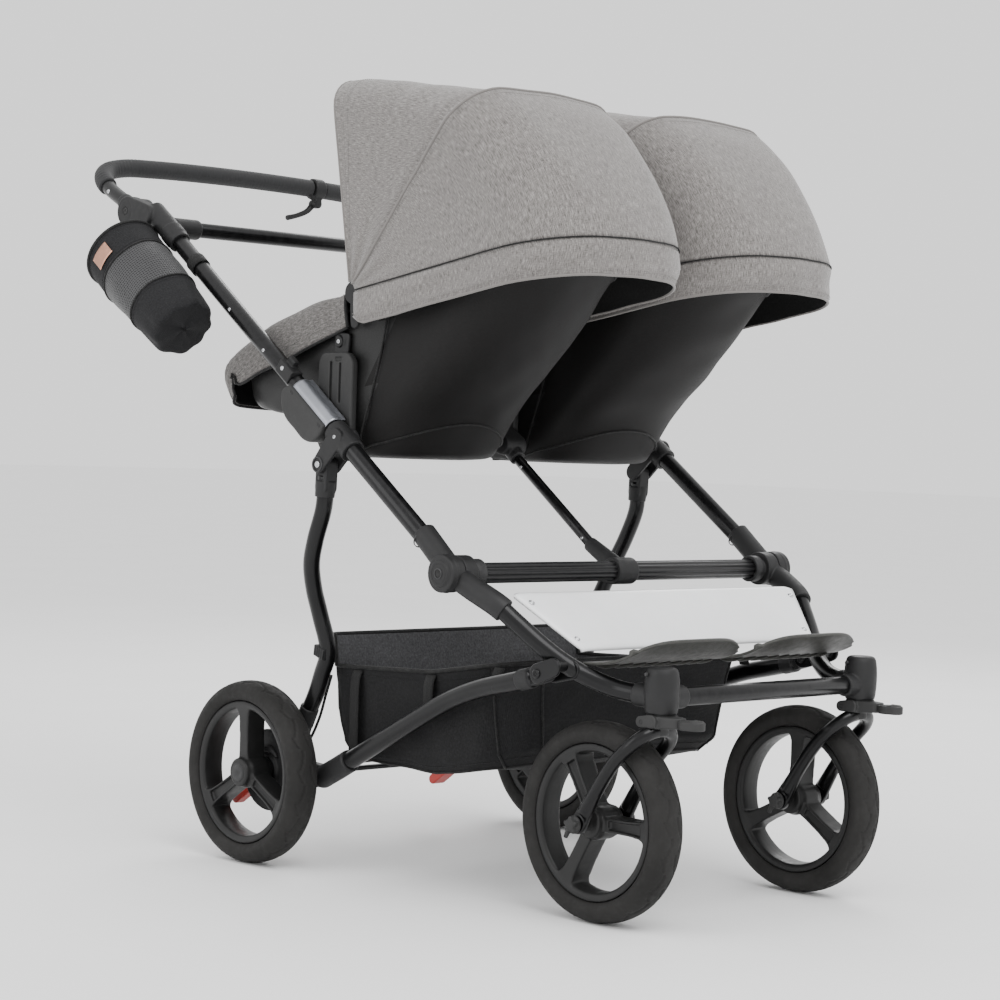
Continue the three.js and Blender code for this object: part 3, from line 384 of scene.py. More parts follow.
def cyl(p, q, r, n=40, r2=None, bev=0.8):
    p, q = np.asarray(p, float), np.asarray(q, float)
    L = np.linalg.norm(q - p)
    r2 = r if r2 is None else r2
    bev = min(bev, r * 0.4, r2 * 0.4, L * 0.3)
    prof = [(0.001, 0), (r - bev, 0), (r - bev * 0.3, bev * 0.3), (r, bev), (r2, L - bev), (r2 - bev * 0.3, L - bev * 0.3), (r2 - bev, L), (0.001, L)]
    return lathe(prof, n, q - p, p)


def cylx(r, x0, x1, y, z, n=40, bev=0.8):
    a, b = min(x0, x1), max(x0, x1)
    return cyl((a, y, z), (b, y, z), r, n, bev=bev)


def extrude(poly2, x0, x1, plane="yz", bev=0.0):
    """a polygon drawn in (y, z), made solid along X; plane 'xy' is made solid along Z"""
    P = np.asarray(poly2, float)
    a, b = min(x0, x1), max(x0, x1)
    layers = [(a, 0.0), (b, 0.0)] if bev <= 0 else [(a, bev), (a + bev * 0.35, bev * 0.35), (a + bev, 0), (b - bev, 0), (b - bev * 0.35, bev * 0.35), (b, bev)]
    area = 0.5 * np.sum(P[:, 0] * np.roll(P[:, 1], -1) - np.roll(P[:, 0], -1) * P[:, 1])
    if area < 0:
        P = P[::-1]
    T = np.roll(P, -1, 0) - np.roll(P, 1, 0)
    T /= np.maximum(np.linalg.norm(T, axis=1), 1e-9)[:, None]
    Nn = np.stack([T[:, 1], -T[:, 0]], 1)
    V, n = [], len(P)
    for x, o in layers:
        Q = P - Nn * o
        V.append(np.stack([np.full(n, x), Q[:, 0], Q[:, 1]], 1) if plane == "yz" else np.stack([Q[:, 0], Q[:, 1], np.full(n, x)], 1))
    V = np.concatenate(V)
    m = len(layers)
    F = grid_faces(m, n, True)
    F.append(tuple(range(n))[::-1])
    F.append(tuple((m - 1) * n + j for j in range(n)))
    return V, F


def slot2(p1, r1, p2, r2, n=14):
    d = math.dist(p1, p2)
    a0 = math.atan2(p2[1] - p1[1], p2[0] - p1[0])
    b = math.acos(max(-1, min(1, (r1 - r2) / d)))
    pts = []
    for k in range(n + 1):
        a = a0 + b + (2 * math.pi - 2 * b) * k / n
        pts.append((p1[0] + r1 * math.cos(a), p1[1] + r1 * math.sin(a)))
    for k in range(n + 1):
        a = a0 - b + 2 * b * k / n
        pts.append((p2[0] + r2 * math.cos(a), p2[1] + r2 * math.sin(a)))
    return pts


def plate(p1, r1, p2, r2, x0, x1, bev=0.8):
    return extrude(slot2(p1, r1, p2, r2), x0, x1, "yz", bev)


def plate_z(p1, r1, p2, r2, z0, z1, bev=0.8):
    return extrude(slot2(p1, r1, p2, r2), z0, z1, "xy", bev)


def boxv(x0, x1, y0, y1, z0, z1):
    return extrude([(y0, z0), (y1, z0), (y1, z1), (y0, z1)], x0, x1)


def moved(vf, d):
    return vf[0] + np.asarray(d, float), vf[1]


def together(parts):
    V, F, k = [], [], 0
    for v, f in parts:
        V.append(v)
        F += [tuple(i + k for i in q) for q in f]
        k += len(v)
    return np.concatenate(V), F


def make(name, vf, mat, body, rep=(), slot=None, smooth=True, uv=None, extra_mats=(), fmat=None, auto=None):
    V, F = vf
    me = bpy.data.meshes.new(name)
    me.from_pydata([tuple(p) for p in W(V)], [], [tuple(int(i) for i in f) for f in F])
    for mt in [mat, *extra_mats]:
        me.materials.append(M[mt])
    if fmat is not None:
        me.polygons.foreach_set("material_index", np.asarray(fmat, np.int32))
    if uv is not None:
        layer = me.uv_layers.new(name="UVMap")
        idx = np.zeros(len(me.loops), np.int32)
        me.loops.foreach_get("vertex_index", idx)
        layer.data.foreach_set("uv", np.asarray(uv, np.float32)[idx].ravel())
    me.validate()
    bm = bmesh.new()
    bm.from_mesh(me)
    bmesh.ops.recalc_face_normals(bm, faces=bm.faces)
    bm.to_mesh(me)
    bm.free()
    if smooth:
        me.shade_smooth()
    o = bpy.data.objects.new(name, me)
    bpy.context.scene.collection.objects.link(o)
    if auto is not None:
        me.set_sharp_from_angle(angle=math.radians(auto))
    if body:
        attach(o, body)
        if rep:
            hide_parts(*([rep] if isinstance(rep, str) else rep))
    if slot:
        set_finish(o, slot)
    return o


def bake(o):
    """replaces the object's mesh by what its modifiers make of it"""
    dg = bpy.context.evaluated_depsgraph_get()
    me = bpy.data.meshes.new_from_object(o.evaluated_get(dg), preserve_all_data_layers=True, depsgraph=dg)
    old = o.data
    o.modifiers.clear()
    o.data = me
    bpy.data.meshes.remove(old)
    return o


def mesh_volume(me):
    """enclosed volume of a closed mesh"""
    me.calc_loop_triangles()
    n = len(me.vertices)
    co = np.empty(n * 3)
    me.vertices.foreach_get("co", co)
    co = co.reshape(-1, 3)
    t = np.empty(len(me.loop_triangles) * 3, dtype=np.int32)
    me.loop_triangles.foreach_get("vertices", t)
    t = t.reshape(-1, 3)
    if not len(t):
        return 0.0
    return abs(float(np.einsum("ij,ij->i", co[t[:, 0]], np.cross(co[t[:, 1]], co[t[:, 2]])).sum()) / 6)


def fuse(name, parts, mat, body, voxel=1.2, it=6, rep=(), slot=None, cuts=(), fac=0.5, late=()):
    """one moulding from overlapping solids, with filleted edges"""
    o = make(name, together(parts), mat, None)
    r = o.modifiers.new("v", "REMESH")
    r.mode = "VOXEL"
    r.voxel_size = voxel / 1000
    if cuts:
        bake(o)
        keep = o.data.copy()
        v0 = mesh_volume(keep)
        c = make(name + "_cut", together(cuts), mat, None)
        cr = c.modifiers.new("v", "REMESH")
        cr.mode = "VOXEL"
        cr.voxel_size = voxel / 1000 * 0.8
        bake(c)
        b = o.modifiers.new("b", "BOOLEAN")
        b.operation = "DIFFERENCE"
        b.solver = "FAST"
        b.object = c
        r2 = o.modifiers.new("v2", "REMESH")
        r2.mode = "VOXEL"
        r2.voxel_size = voxel / 1000
        bake(o)
        bpy.data.objects.remove(c)
        if mesh_volume(o.data) < 0.55 * v0:
            o.data = keep
    s = o.modifiers.new("s", "SMOOTH")
    s.factor = fac
    s.iterations = it
    bake(o)
    if not o.data.materials:
        o.data.materials.append(M[mat])
    o.data.shade_smooth()
    if body:
        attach(o, body)
        if rep:
            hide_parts(*([rep] if isinstance(rep, str) else rep))
    if slot:
        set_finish(o, slot)
    return o


def clone(o, name, d, body, rep=(), mirror=False):
    """a second copy of a piece, moved by d working millimetres"""
    me = o.data.copy()
    if mirror:
        me.transform(Matrix.Translation(Vector((SH[0] / 1000, 0, 0))) @ Matrix.Scale(-1, 4, (1, 0, 0)) @ Matrix.Translation(Vector((-SH[0] / 1000, 0, 0))))
        me.flip_normals()
    me.transform(Matrix.Translation(Vector(np.asarray(d, float) / 1000)))
    c = bpy.data.objects.new(name, me)
    bpy.context.scene.collection.objects.link(c)
    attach(c, body)
    if rep:
        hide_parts(*([rep] if isinstance(rep, str) else rep))
    if o.get("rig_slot"):
        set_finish(c, o["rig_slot"])
    return c


def screw(name, at, axis, r, body, h=1.6, mat="steel"):
    """pan head with a hexagon socket"""
    prof = [(0.001, -1.2), (r * 0.45, -1.2), (r * 0.5, h * 0.75), (r * 0.62, h), (r * 0.85, h * 0.8), (r, h * 0.25), (r, -1.5), (0.001, -1.5)]
    prof = [(0.001, h * 0.1), (r * 0.46, h * 0.1), (r * 0.52, h * 0.95), (r * 0.66, h), (r * 0.88, h * 0.8), (r, h * 0.25), (r, -1.5), (0.001, -1.5)]
    return make(name, lathe(prof, 24, axis, at), mat, body)


def stitches(name, path, body, mat="thread", pitch=3.6, ln=2.3, r=0.42, raw=True, blend=None):
    c = even(np.asarray(path, float), max(3, int(length(np.asarray(path, float)) / pitch)))
    parts = []
    for i in range(len(c) - 1):
        d = c[i + 1] - c[i]
        L = np.linalg.norm(d)
        if L < 1e-6:
            continue
        d /= L
        p, q = c[i], c[i] + d * ln
        e = np.cross(d, [0.3, 0.5, 0.81])
        e /= np.linalg.norm(e)
        f = np.cross(d, e)
        ring = [np.array([p + (e * math.cos(t) + f * math.sin(t)) * r * k0 for t in np.linspace(0, 2 * math.pi, 6, endpoint=False)]) + d * sh for k0, sh in ((0.4, 0), (1, 0.5), (1, ln - 0.5), (0.4, ln))]
        parts.append((np.concatenate(ring), grid_faces(4, 6, True) + [tuple(range(6))[::-1], tuple(range(18, 24))]))
    return make(name, together(parts), mat, body)


def shell(name, G, t, mats, body, uvs=None, rep=(), slot=None, closed=False, rim=None, pole=False):
    """cloth of thickness t from a grid of points; mats are the outer and the inner cloth"""
    G = np.asarray(G, float)
    m, n = G.shape[:2]
    du = np.gradient(G, axis=1)
    if closed:
        du = (np.roll(G, -1, 1) - np.roll(G, 1, 1)) / 2
    dv = np.gradient(G, axis=0)
    nn = np.cross(du, dv)
    L = np.linalg.norm(nn, axis=2)
    nn = nn / np.maximum(L, 1e-9)[..., None]
    I = G - nn * t
    V = np.concatenate([G.reshape(-1, 3), I.reshape(-1, 3)])
    if uvs is None:
        if closed:
            seg = np.linalg.norm(np.diff(np.concatenate([G, G[:, :1]], 1), axis=1), axis=2)
            us = np.cumsum(np.concatenate([np.zeros((m, 1)), seg], 1), 1)[:, :-1]
        else:
            seg = np.linalg.norm(np.diff(G, axis=1), axis=2)
            us = np.concatenate([np.zeros((m, 1)), np.cumsum(seg, 1)], 1)
            us = us - us[:, n // 2][:, None]
        vs = np.concatenate([np.zeros((1, n)), np.cumsum(np.linalg.norm(np.diff(G, axis=0), axis=2), 0)], 0)
        vs = vs.mean(1)[:, None] * np.ones((1, n)) * 0.5 + vs * 0.5
        uvs = np.stack([us, vs], 2) / 1000
    UV = np.concatenate([uvs.reshape(-1, 2)] * 2)
    A = grid_faces(m, n, closed)
    B = grid_faces(m, n, closed, True, m * n)
    F = A + B
    fm = [0] * len(A) + [1] * len(B)
    o = m * n
    cols = range(n) if closed else range(n - 1)
    for j in cols:
        k = (j + 1) % n
        F.append((j, o + j, o + k, k))
        F.append(((m - 1) * n + j, (m - 1) * n + k, o + (m - 1) * n + k, o + (m - 1) * n + j))
        fm += [0, 0]
    if not closed:
        for i in range(m - 1):
            F.append((i * n, (i + 1) * n, o + (i + 1) * n, o + i * n))
            F.append((i * n + n - 1, o + i * n + n - 1, o + (i + 1) * n + n - 1, (i + 1) * n + n - 1))
            fm += [0, 0]
    return make(name, (V, F), mats[0], body, rep, slot, True, UV, [mats[1]], fm)


def smoothnoise(P, scale, seed):
    """a smooth field made of a few waves, the same every run"""
    r = np.random.default_rng(seed)
    out = np.zeros(len(P))
    for _ in range(7):
        k = r.normal(size=3) / scale
        out += np.sin(P @ k * 2 * math.pi * 0.5 + r.uniform(0, 6.28))
    return out / 3.0

# ------------------------------------------------------------------ sizes shared with the frame
R_, L_ = "r", "l"
SIDES = [(-1, "r"), (1, "l")]
WHEEL_R, RIM_R, REAR_X, AXLE_Z = 127.0, 98.0, 299.5, 127.0
CX, CY, TRAIL = 194.7, -674.7, 96.3
KNEE, CLEVIS, FOOT, LINK, HANDLE, BRAKE, HOOD = (-412, 429.5), (-152, 560), (-46, 172), (-535, 312), (308, 920), (30, 113), (-176, 792)
UP = math.atan(0.7217)
FX = 306.0


def line(y):
    return 605.9 + 0.7217 * (y + 168.2)


def side(y, x, v=0.0):
    return np.array([x, y - math.sin(UP) * v, line(y) + math.cos(UP) * v])


# ------------------------------------------------------------------ wheels
def tyre(name, at, body, rep, seed):
    nth, prof = 720, []
    w, R = 24.0, WHEEL_R
    base = [(RIM_R + 1.5, -16), (RIM_R + 3, -19.5), (RIM_R + 8, -22.8), (RIM_R + 15, -23.9), (R - 9, -21.6), (R - 4.2, -17.6), (R - 1.4, -11), (R - 0.2, -4.5), (R, 0)]
    half = np.array(base, float)
    full = np.concatenate([half, (half[:-1] * [1, -1])[::-1]])
    c = catmull(full, 46)
    a = np.linspace(0, 2 * math.pi, nth, endpoint=False)
    V = []
    for r, x in c:
        rr = np.full(nth, r)
        # curved tread grooves, a long one and a short one in turn, mirrored across the crown
        for sgn in (1, -1):
            u = (a * R / 1.0 + (0 if sgn > 0 else 22)) % (2 * math.pi * R / 17)
            P = 2 * math.pi * R / 17
            cx1 = 5.0 + 7.5 * np.clip(u / (P * 0.62), 0, 1) ** 2.2
            d1 = np.where((u > 2) & (u < P * 0.70), np.abs(sgn * x - cx1), 9)
            cx2 = 15.5 - 6.0 * np.clip((u - P * 0.62) / (P * 0.33), 0, 1)
            d2 = np.where((u > P * 0.60) & (u < P * 0.97), np.abs(sgn * x - cx2), 9)
            d = np.minimum(d1, d2 * 0.85)
            if r > RIM_R + 14:
                rr = rr - 1.7 * np.clip(1 - d / 1.5, 0, 1) ** 0.6
        # moulding lines on the sidewall
        if abs(r - (RIM_R + 11.5)) < 1.1:
            rr = rr - 0.5
        V.append(np.stack([np.full(nth, x + at[0]), at[1] + rr * np.cos(a), at[2] + rr * np.sin(a)], 1))
    V = np.concatenate(V)
    F = grid_faces(len(c), nth, True)
    m = len(c)
    for j in range(nth):
        F.append(((m - 1) * nth + j, (m - 1) * nth + (j + 1) % nth, (j + 1) % nth, j))
    # the contact patch is not taken below the floor
    V[:, 2] = np.maximum(V[:, 2], 0.05)
    return make(name, (V, F), "tyre", body, rep, "tyre")


def rim(name, at, body, rep, spin, closed_side):
    ring = [(RIM_R - 9.5, -15), (RIM_R - 7, -17.4), (RIM_R - 3, -18.6), (RIM_R + 1.2, -18.2), (RIM_R + 0.6, -15.5), (RIM_R + 0.6, 15.5), (RIM_R + 1.2, 18.2), (RIM_R - 3, 18.6), (RIM_R - 7, 17.4), (RIM_R - 9.5, 15), (RIM_R - 10.5, 8), (RIM_R - 10.8, 0), (RIM_R - 10.5, -8)]
    parts = [lathe(ring, 160, (1, 0, 0), (0, 0, 0), True)]
    cuts = []
    for k in range(3):
        a = spin + 2 * math.pi * k / 3
        def sec(d, hw, ht, n=0.0):
            c = np.array([0, d * math.cos(a), d * math.sin(a)])
            e = np.array([0, -math.sin(a), math.cos(a)]) * hw
            return [c - e + [-ht, 0, 0], c + e + [-ht, 0, 0], c + e + [ht, 0, 0], c - e + [ht, 0, 0]]
        secs = [(12, 10.5, 15.5), (30, 9.2, 15.2), (60, 9.2, 15.4), (78, 10.5, 15.8), (86, 13, 16.5), (90.5, 17, 17.4)]
        V = np.concatenate([np.array(sec(*q)) for q in secs])
        F = grid_faces(len(secs), 4, True) + [(3, 2, 1, 0), tuple(4 * (len(secs) - 1) + j for j in range(4))]
        parts.append((V, F))
        for sg in (-1, 1):
            secs = [(27, 5.8, 5), (60, 6.2, 5), (83, 8.0, 5)]
            V = np.concatenate([np.array(sec(d, hw, ht)) + [sg * 15.5, 0, 0] for d, hw, ht in secs])
            cuts.append((V, grid_faces(3, 4, True) + [(3, 2, 1, 0), (8, 9, 10, 11)]))
    parts.append(lathe([(0.001, -24), (17, -24), (19.5, -22.5), (20.5, -17), (22.5, -12), (22.5, 12), (20.5, 17), (19.5, 22.5), (17, 24), (0.001, 24)], 64, (1, 0, 0)))
    for sg in (-1, 1):
        cuts.append(cylx(15.2, sg * 21.2, sg * 26, 0, 0, 48, 0.2))
    o = fuse(name, parts, "rim", None, 1.25, 5, cuts=cuts)
    o.data.transform(Matrix.Translation(Vector(np.array([at[0], at[1], at[2]]) / 1000)))
    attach(o, body)
    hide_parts(rep)
    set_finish(o, "gloss_plastic")
    return o


for s, n in SIDES:
    fy, fx = CY + TRAIL, s * CX
    tyre("tyre_front_" + n, (fx, fy, AXLE_Z), "front_wheel_" + n, "front_tyre_" + n, 1)
    tyre("tyre_rear_" + n, (s * REAR_X, 0, AXLE_Z), "rear_wheel_" + n, "rear_tyre_" + n, 2)
    rf = rim("rim_front_" + n, (fx, fy, AXLE_Z), "front_wheel_" + n, "front_rim_" + n, 1.047 if s < 0 else 1.62, 0)
    rr = rim("rim_rear_" + n, (s * REAR_X, 0, AXLE_Z), "rear_wheel_" + n, "rear_rim_" + n, math.pi / 2 - 0.03, 0)
    # hub caps of the rear wheels and seals of the front ones
    make("hub_cap_" + n, lathe([(0.001, 0), (13.2, 0), (13.8, 0.8), (13.8, 3.0), (12.6, 4.2), (9, 4.6), (0.001, 4.9)], 48, (s, 0, 0), (s * (REAR_X + 20.8), 0, AXLE_Z)), "plastic", "rear_wheel_" + n)
    for sg in (-1, 1):
        make(f"hub_seal_{n}_{'a' if sg < 0 else 'b'}", lathe([(4.6, 0), (12, 0), (13, 0.8), (13, 2.2), (9, 3.4), (4.6, 3.4)], 40, (sg, 0, 0), (fx + sg * 20.9, fy, AXLE_Z)), "rubber", "front_wheel_" + n)

    # ---------------- caster: fork, crown, lock, axle
    cb = "caster_" + n
    loop = [(fx - 38.8, fy - 8, AXLE_Z + 14), (fx - 38.5, fy - 18, AXLE_Z + 30), (fx - 38, fy - 56, AXLE_Z + 83), (fx - 34, CY + 16, 234), (fx - 22, CY + 4, 247), (fx, CY + 1, 252), (fx + 22, CY + 4, 247), (fx + 34, CY + 16, 234), (fx + 38, fy - 56, AXLE_Z + 83), (fx + 38.5, fy - 18, AXLE_Z + 30), (fx + 38.8, fy - 8, AXLE_Z + 14)]
    parts = [sweep(loop, 8.8, 28, 3.0)]
    for k in (-1, 1):
        x = fx + k * 39
        parts.append(extrude(slot2((fy - 26, AXLE_Z + 41), 8.6, (fy - 1, AXLE_Z + 1), 12.4), x - 3.4, x + 3.4, "yz", 1.0))
        parts.append(cylx(12.6, x - 4.6, x + 4.6, fy, AXLE_Z, 48))
    fuse("fork_" + n, parts, "tube", cb, 1.1, 6, "caster_fork_" + n, "frame_tube")
    crown = [cyl((fx, CY, 255), (fx, CY, 271.0), 18.6, 56), plate_z((fx, CY), 18, (fx, CY - 26), 11.5, 257, 270.2), cyl((fx, CY, 246), (fx, CY, 258), 10.5, 40)]
    for k in (-1, 1):
        crown.append(extrude(slot2((CY - 2, 264), 8.5, (CY + 15, 262.5), 7.0), fx + k * 17.5, fx + k * 22.6, "yz", 0.8))
    fuse("crown_" + n, crown, "plastic_mid", cb, 0.9, 5)
    for k in (-1, 1):
        screw(f"crown_pin_{n}_{'a' if k < 0 else 'b'}", (fx + k * 22.2, CY + 13, 262.5), (k, 0, 0), 3.6, cb, 0.9, "plastic")
    lock = [plate_z((fx, CY - 48.3), 14.6, (fx, CY - 58), 11.2, 257.6, 268.2, 1.2)]
    for i, yy in enumerate((-50, -55, -60)):
        lock.append(sweep([(fx - 12.5 + i * 1.2, CY + yy + 6, 268.4), (fx - 8, CY + yy - 1.5, 268.8), (fx, CY + yy - 4, 269.0), (fx + 8, CY + yy - 1.5, 268.8), (fx + 12.5 - i * 1.2, CY + yy + 6, 268.4)], 1.0, 8, 1.5))
    fuse("lock_lever_" + n, lock, "plastic_mid", "lock_lever_" + n, 0.7, 3, "swivel_lock_" + n, "frame_plastic")
    star = [cyl((fx - 48.3, fy, AXLE_Z), (fx - 57, fy, AXLE_Z), 9.2, 40, 7.5), cyl((fx - 46, fy, AXLE_Z), (fx - 50, fy, AXLE_Z), 11.5, 40)]
    for k in range(5):
        a = 2 * math.pi * k / 5 + 0.3
        star.append(cyl((fx - 49.2, fy + 8.4 * math.cos(a), AXLE_Z + 8.4 * math.sin(a)), (fx - 56, fy + 8.4 * math.cos(a), AXLE_Z + 8.4 * math.sin(a)), 3.3, 20, 2.6))
    star.append(cyl((fx - 51, fy + 4, AXLE_Z - 4), (fx - 53, fy + 9, AXLE_Z - 17), 3.8, 20, 2.8))
    star.append(cyl((fx + 48.3, fy, AXLE_Z), (fx + 55.5, fy, AXLE_Z), 9.6, 6, 8.6, 0.6))
    star.append(cylx(4, fx - 50, fx + 50, fy, AXLE_Z, 24))
    fuse("skewer_" + n, star, "plastic_mid", cb, 0.8, 3, "front_axle_" + n, "axle")

# ------------------------------------------------------------------ front frame
for s, n in SIDES:
    path = [(s * 303, -446, 412), (s * 294, -480, 394.5), (s * 281, -503, 373.5), (s * 261, -534.6, 343.6), (s * 243, -557, 324), (s * 226, -581, 309.5), (s * 212, -608, 299), (s * 203, -638, 294.2), (s * 198.5, -651.5, 293), (s * 197, -660, 292.7)]
    make("tube_front_" + n, sweep(path, 11.8, 40, 3.0), "tube", "chassis", "front_tube_" + n, "frame_tube")
    fuse("link_bracket_" + n, [plate((-562, 322), 12, LINK, 13, s * 274, s * 269.2), plate((-566, 318), 12, LINK, 13, s * 244.5, s * 239.7), cyl((s * 274, -560, 323), (s * 240, -560, 323), 7, 32)], "tube", "chassis", 1.0, 4)
    for k, x in (("a", 274.2), ("b", 239.4)):
        screw(f"link_pin_{n}_{k}", (s * x, LINK[0], LINK[1]), (s if k == "a" else -s, 0, 0), 6.2, "chassis", 2.4, "tube")
    # barrel
    fx = s * CX
    prof = [(0.001, 271.9), (17.5, 271.9), (19.6, 273.2), (20.6, 278), (21.7, 290), (22.0, 303), (21.4, 315), (20.2, 323), (18.6, 327.6), (15, 329.8), (8, 330.0), (0.001, 330.0)]
    parts = [lathe(prof, 64, (0, 0, 1), (fx, CY, 0)), cyl((s * 200.5, -638, 293.6), (s * 196, -668, 292), 14.9, 48), cylx(14.7, s * 158, s * 190, CY, 292, 48)]
    fuse("barrel_" + n, parts, "plastic", "chassis", 1.0, 5, "caster_barrel_" + n, "frame_plastic", cuts=[lathe([(20.2, 324.2), (24, 324.2), (24, 325.2), (20.2, 325.2)], 48, (0, 0, 1), (fx, CY, 0), True)])
    make("barrel_pin_" + n, cyl((fx - 20.2, CY + 6, 321), (fx - 23.8, CY + 7, 321), 2.6, 20), "plastic", "chassis")
    make("barrel_seal_" + n, lathe([(10.6, 270.6), (17.4, 270.6), (18.2, 271.2), (17.4, 272.3), (10.6, 272.3)], 48, (0, 0, 1), (fx, CY, 0), True), "rubber", cb := "caster_" + n)
make("tube_front_cross", cylx(11.8, -171.5, 171.5, CY, 292, 40), "tube", "chassis", "front_cross_tube", "frame_tube")

# knees
for s, n in SIDES:
    low = [cylx(23.5, s * 283.5, s * 305.6, *KNEE, 64), sweep([(s * 305, -428, 420.5), (s * 303, -446, 412), (s * 294, -480, 394.5), (s * 289, -490, 387)], 15.6, 40, 3), cylx(16, s * 279.5, s * 284.5, *KNEE, 48)]
    fuse("knee_a_" + n, low, "plastic", "chassis", 1.1, 5, "knee_lower_" + n, "frame_plastic")
    screw("knee_rivet_" + n, (s * 309.2, -470, 403) if False else (s * (309.0), -462, 411.0), (s, 0.15, 0.5), 3.0, "chassis", 1.0, "tube")
    c0 = (s * FX, KNEE[0] + 15 * math.cos(UP), KNEE[1] + 15 * math.sin(UP))
    upp = [cylx(24.3, s * 306.6, s * 330, *KNEE, 64, 2.0), cylx(17, s * 328, s * 333, *KNEE, 48, 1.2), cyl(c0, (s * FX, -352, 478), 15.8, 48)]
    upp.append(cylx(24.9, s * 318.2, s * 321.4, *KNEE, 64, 0.6))
    fuse("knee_b_" + n, upp, "plastic", "upper_frame", 1.0, 3, "knee_upper_" + n, "frame_plastic")
    make("knee_groove_" + n, lathe([(12.4, -0.5), (13.2, -0.5), (13.2, 0.25), (12.4, 0.25)], 64, (s, 0, 0), (s * 333.0, *KNEE), True), "rubber", "upper_frame")
    make("knee_socket_" + n, lathe([(5.4, -0.6), (7.2, -0.6), (7.2, 0.7), (5.4, 0.7)], 48, (s, 0, 0), (s * 333.0, *KNEE), True), "gloss", "upper_frame")
    make("knee_hex_" + n, cylx(5.2, s * 331.2, s * 333.5, *KNEE, 6, 0.5), "rubber", "upper_frame")
    make("knee_ring_" + n, lathe([(15.2, -1.0), (16.1, -1.0), (16.1, 1.0), (15.2, 1.0)], 40, (0, math.cos(UP), math.sin(UP)), tuple(side(-353.5, s * FX)), True), "plastic", "upper_frame")
    make("tube_side_" + n, cyl(tuple(side(246, s * FX)), (s * FX, -388, line(-388) + 0.4), 12.3, 48), "tube", "upper_frame", "side_tube_" + n, "frame_tube")

# fluted crossbar, sleeves at its ends
a = np.linspace(0, 2 * math.pi, 192, endpoint=False)
rr = 12.7 + 0.75 * np.sign(np.cos(12 * a)) * np.abs(np.cos(12 * a)) ** 0.6
make("crossbar_fluted", extrude(np.stack([KNEE[0] + rr * np.cos(a), KNEE[1] + rr * np.sin(a)], 1), -283, 283, "yz", 0.3), "gloss", "chassis", "crossbar", "gloss_plastic", smooth=True, auto=40)
for s, n in SIDES:
    make("crossbar_collar_" + n, lathe([(13.6, 0), (17.6, 0), (18.6, 1), (18.6, 15), (17.4, 16.5), (13.6, 16.5)], 56, (s, 0, 0), (s * 263.5, *KNEE), True), "plastic", "chassis")

# white leg panel: thin sheet with turned edges and four screws
y0, z0, y1, z1, w0, w1 = -478, 402.5, -560, 337, 266, 226
dy, dz = y1 - y0, z1 - z0
Lp = math.hypot(dy, dz)
ny, nz = dz / Lp, -dy / Lp


def PP(u, w, h):
    return np.array([w, y0 + dy * u + ny * h, z0 + dz * u + nz * h])


G = []
for u in np.linspace(0, 1, 36):
    half = np.interp(u, [0, 0.06, 1], [w0, w0 + 5, w1])
    row = []
    for q in np.linspace(-1, 1, 81):
        h = 7.1 + 1.2 * math.sin(math.pi * u) * (1 - q * q) - 1.6 * max(0, (abs(q) - 0.97) / 0.03) ** 2
        h -= 3.0 * max(0, (0.05 - u) / 0.05) ** 1.6 + 3.0 * max(0, (u - 0.95) / 0.05) ** 1.6
        x = q * half * (1 - 0.012 * max(0, (abs(q) - 0.9) / 0.1) * (1 if (u < 0.03 or u > 0.97) else 0))
        # the corners at both ends of the sheet are drawn in a little
        row.append(PP(u, x, h))
    G.append(row)
panel = shell("panel_sheet", G, 3.0, ("panel", "panel"), "chassis", None, "leg_panel", "leg_panel")
for s, n in SIDES:
    screw("panel_screw_top_" + n, tuple(PP(0.2, s * 252.9, 9.4)), (0, ny, nz), 4.6, "chassis", 2.6)
    screw("panel_screw_low_" + n, tuple(PP(0.84, s * 222, 8.6)), (0, ny, nz), 4.6, "chassis", 2.6)

# foot plates with ribs under them
for s, n in SIDES:
    x0, x1 = 10, 224
    G = []
    for v in np.linspace(0, 1, 34):
        row = []
        for u in np.linspace(-1, 1, 61):
            e = abs(u) ** 4
            y = -566 - (78 + 22 * (1 - abs(u) ** 2.5)) * v
            lift = 34 * v ** 2.6 * (1 - 0.55 * e) + 2 * e * v
            x = s * ((x0 + x1) / 2 + (u * (x1 - x0)) / 2 * (1 - 0.06 * v * v))
            cr = 4.5 * max(0, abs(u) - 0.93) / 0.07 * max(0, (v - 0.9) / 0.1) ** 2
            row.append((x - s * np.sign(u) * cr, y + cr, 327.5 + lift))
        G.append(row if s > 0 else row[::-1])
    G = np.array(G)[::-1]
    o = shell("footplate_" + n, G, 3.6, ("foot", "foot"), "chassis", None, "foot_plate_" + n, "foot_plate")
    ribs = []
    for u in np.linspace(-0.82, 0.82, 9):
        pts = []
        for v in np.linspace(0.06, 0.5, 10):
            e = abs(u) ** 4
            y = -566 - (78 + 22 * (1 - abs(u) ** 2.5)) * v
            lift = 34 * v ** 2.6 * (1 - 0.55 * e) + 2 * e * v
            x = s * ((x0 + x1) / 2 + (u * (x1 - x0)) / 2 * (1 - 0.06 * v * v))
            pts.append((x, y, 327.5 + lift - 5.2))
        ribs.append(sweep(pts, 2.0, 8, 4, radii=[1.0, 3.4, 2.6, 1.0]))
    make("footplate_ribs_" + n, together(ribs), "foot", "chassis")
    bear = [cyl((s * 196, -646 - 12, 307), (s * 196, -646 - 12, 320), 9, 30), cyl((s * 60, -600, 318), (s * 60, -640, 312), 8, 30)]

